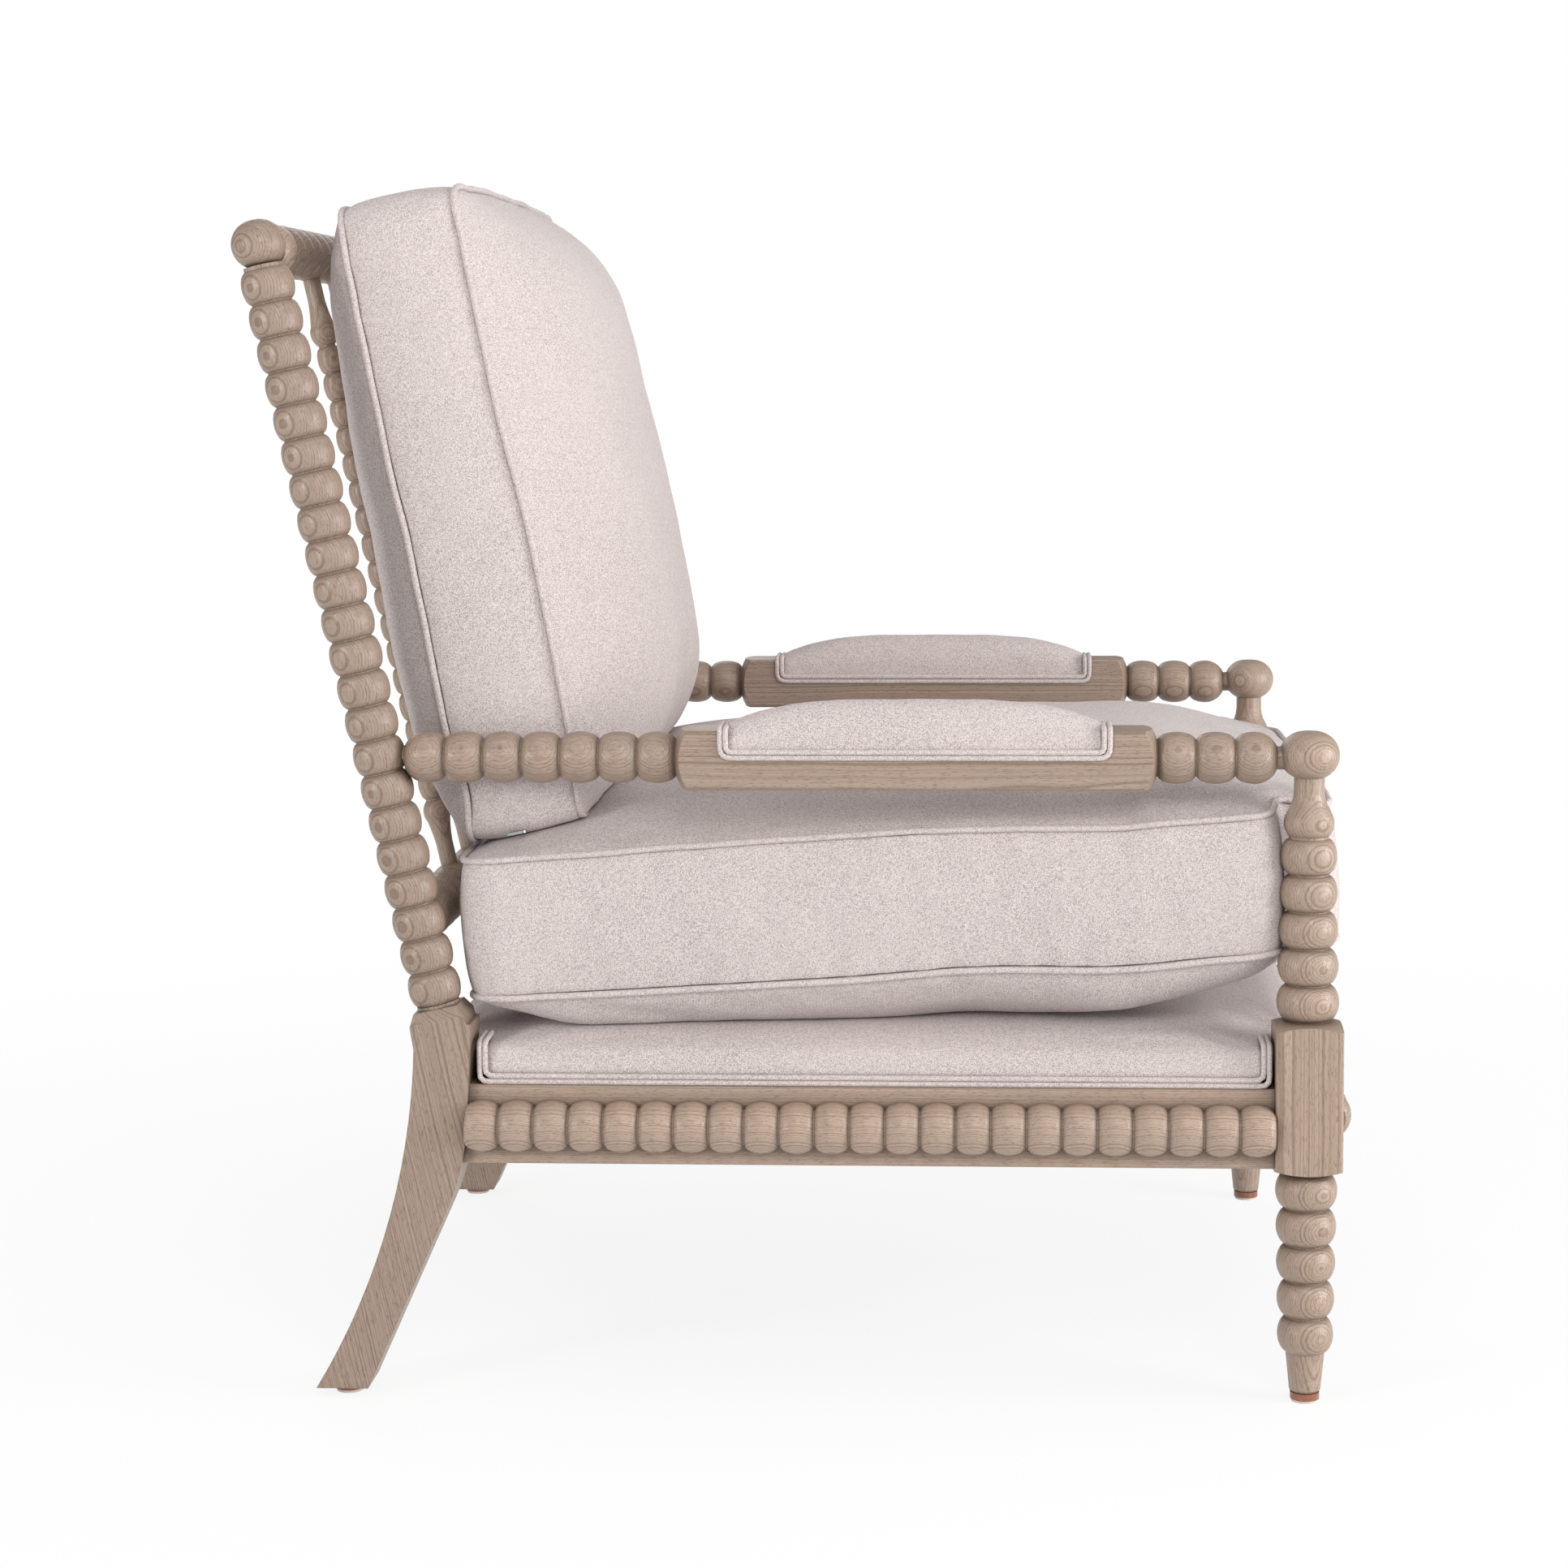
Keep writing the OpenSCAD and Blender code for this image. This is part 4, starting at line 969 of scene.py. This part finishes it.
pucker(back, back_seams, 0.0022, 0.016, 0.055)
seat_tree = BVHTree.FromObject(seat, bpy.context.evaluated_depsgraph_get())
seat_up = (SEAT_FRAME.to_3x3() @ Vector((0, 0, 1))).normalized()
rest_on(back, BACK_FRAME, seat_tree, seat_up, 0.0008)
smooth(back, 1)
back_welts = [
    cushion_welt("back_welt_front", back, back_plan, back_seam_front),
    cushion_welt("back_welt_rear", back, back_plan, back_seam_rear),
]
# Painted shadow lines on the side band beside the welts, where the seams' gaps are shaded.
back_seam_shadows = [
    seam_shadow_line("back_seam_front", back, back_plan, lambda x, y: back_seam_front(x, y) - SEAM_SHADOW_BESIDE),
    seam_shadow_line("back_seam_rear", back, back_plan, lambda x, y: back_seam_rear(x, y) + SEAM_SHADOW_BESIDE),
]
for piece in back_welts:
    rest_on(piece, BACK_FRAME, seat_tree, seat_up, 0.0030)
for piece in [back] + back_welts + back_seam_shadows:
    place(piece, BACK_FRAME)
subdivide(back)

for piece, body, node in ((seat, "seat_cushion", "seat_cushion"), (back, "back_cushion", "back_cushion")):
    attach(piece, body)
    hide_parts(node)
for piece in seat_welts + seat_seam_shadows:
    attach(piece, "seat_cushion")
for piece in back_welts + back_seam_shadows:
    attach(piece, "back_cushion")


# ---------- floor, light and camera ----------


def floor_material():
    """White studio floor that melts into the white surround."""
    n = Nodes("floor")
    n.shader.inputs["Base Color"].default_value = (0.86, 0.86, 0.86, 1)
    n.shader.inputs["Roughness"].default_value = 0.9
    place_at = n.add("ShaderNodeTexCoord").outputs["Object"]
    away = n.add("ShaderNodeVectorMath", {0: place_at}, operation="LENGTH").outputs["Value"]
    fade = n.ramp(n.math("DIVIDE", away, 4.0, True), ((0.10, 0.86), (0.45, 1.0)))
    glow = n.add("ShaderNodeEmission", {"Color": (1, 1, 1, 1), "Strength": 1.0})
    both = n.add("ShaderNodeMixShader", {0: fade, 1: n.shader.outputs[0], 2: glow.outputs[0]})
    out = n.tree.nodes["Material Output"]
    n.tree.links.new(both.outputs[0], out.inputs["Surface"])
    return n.material


FLOOR_SIZE = 30.0
FLOOR_CELLS = 8
floor_verts = []
for i in range(FLOOR_CELLS + 1):
    for j in range(FLOOR_CELLS + 1):
        floor_verts.append((FLOOR_SIZE * (i / FLOOR_CELLS - 0.5), FLOOR_SIZE * (j / FLOOR_CELLS - 0.5), 0))
floor_faces = []
for i in range(FLOOR_CELLS):
    for j in range(FLOOR_CELLS):
        a = i * (FLOOR_CELLS + 1) + j
        floor_faces.append((a, a + FLOOR_CELLS + 1, a + FLOOR_CELLS + 2, a + 1))
studio_floor = new_object("studio_floor", floor_verts, floor_faces, floor_material())

world = bpy.data.worlds.new("studio")
scene.world = world
world.use_nodes = True
sky = world.node_tree.nodes
seen = sky.new("ShaderNodeBackground")
seen.inputs["Strength"].default_value = 1.0
seen.inputs["Color"].default_value = (1, 1, 1, 1)
sky["Background"].inputs["Color"].default_value = (1, 1, 1, 1)
sky["Background"].inputs["Strength"].default_value = 0.36
choose = sky.new("ShaderNodeMixShader")
world.node_tree.links.new(sky.new("ShaderNodeLightPath").outputs["Is Camera Ray"], choose.inputs[0])
world.node_tree.links.new(sky["Background"].outputs[0], choose.inputs[1])
world.node_tree.links.new(seen.outputs[0], choose.inputs[2])
world.node_tree.links.new(choose.outputs[0], sky["World Output"].inputs["Surface"])
scene.view_settings.view_transform = "Standard"
scene.view_settings.look = "None"


def soft_light(name, location, target, size, power):
    """A square soft light aimed at a point."""
    data = bpy.data.lights.new(name, "AREA")
    data.shape = "RECTANGLE"
    data.size, data.size_y = size, size
    data.energy = power
    light = bpy.data.objects.new(name, data)
    light.location = location
    light.rotation_euler = (Vector(target) - Vector(location)).to_track_quat("-Z", "Y").to_euler()
    scene.collection.objects.link(light)


soft_light("key", (-2.3, 2.2, 1.0), (-0.3, 0, 0.5), 0.9, 37)
soft_light("front", (-1.0, -2.8, 0.95), (0, 0, 0.6), 1.6, 84)
soft_light("fill", (-2.5, -0.7, 1.9), (0.2, 0, 0.5), 1.3, 30)
soft_light("far", (2.6, 0.9, 1.7), (0, 0, 0.5), 1.6, 16)
soft_light("top", (-0.3, 0.1, 2.9), (0, 0, 0.4), 2.0, 13)

camera_data = bpy.data.cameras.new("camera")
camera_data.sensor_width = 36
camera_data.lens = 73.17
camera_data.shift_x = -0.0365
camera_data.shift_y = -0.0787
camera_data.clip_end = 60
camera = bpy.data.objects.new("camera", camera_data)
scene.collection.objects.link(camera)
scene.camera = camera
camera.location = (-2.7691, -0.1628, 0.8029)
yaw, pitch, roll = math.radians(2.99), math.radians(5.09), math.radians(-0.29)
forward = Vector((math.cos(yaw) * math.cos(pitch), math.sin(yaw) * math.cos(pitch), -math.sin(pitch)))
level_right = Vector((math.sin(yaw), -math.cos(yaw), 0))
level_up = level_right.cross(forward)
right = level_right * math.cos(roll) + level_up * math.sin(roll)
up = level_up * math.cos(roll) - level_right * math.sin(roll)
camera.rotation_euler = Matrix((right, up, -forward)).transposed().to_euler()
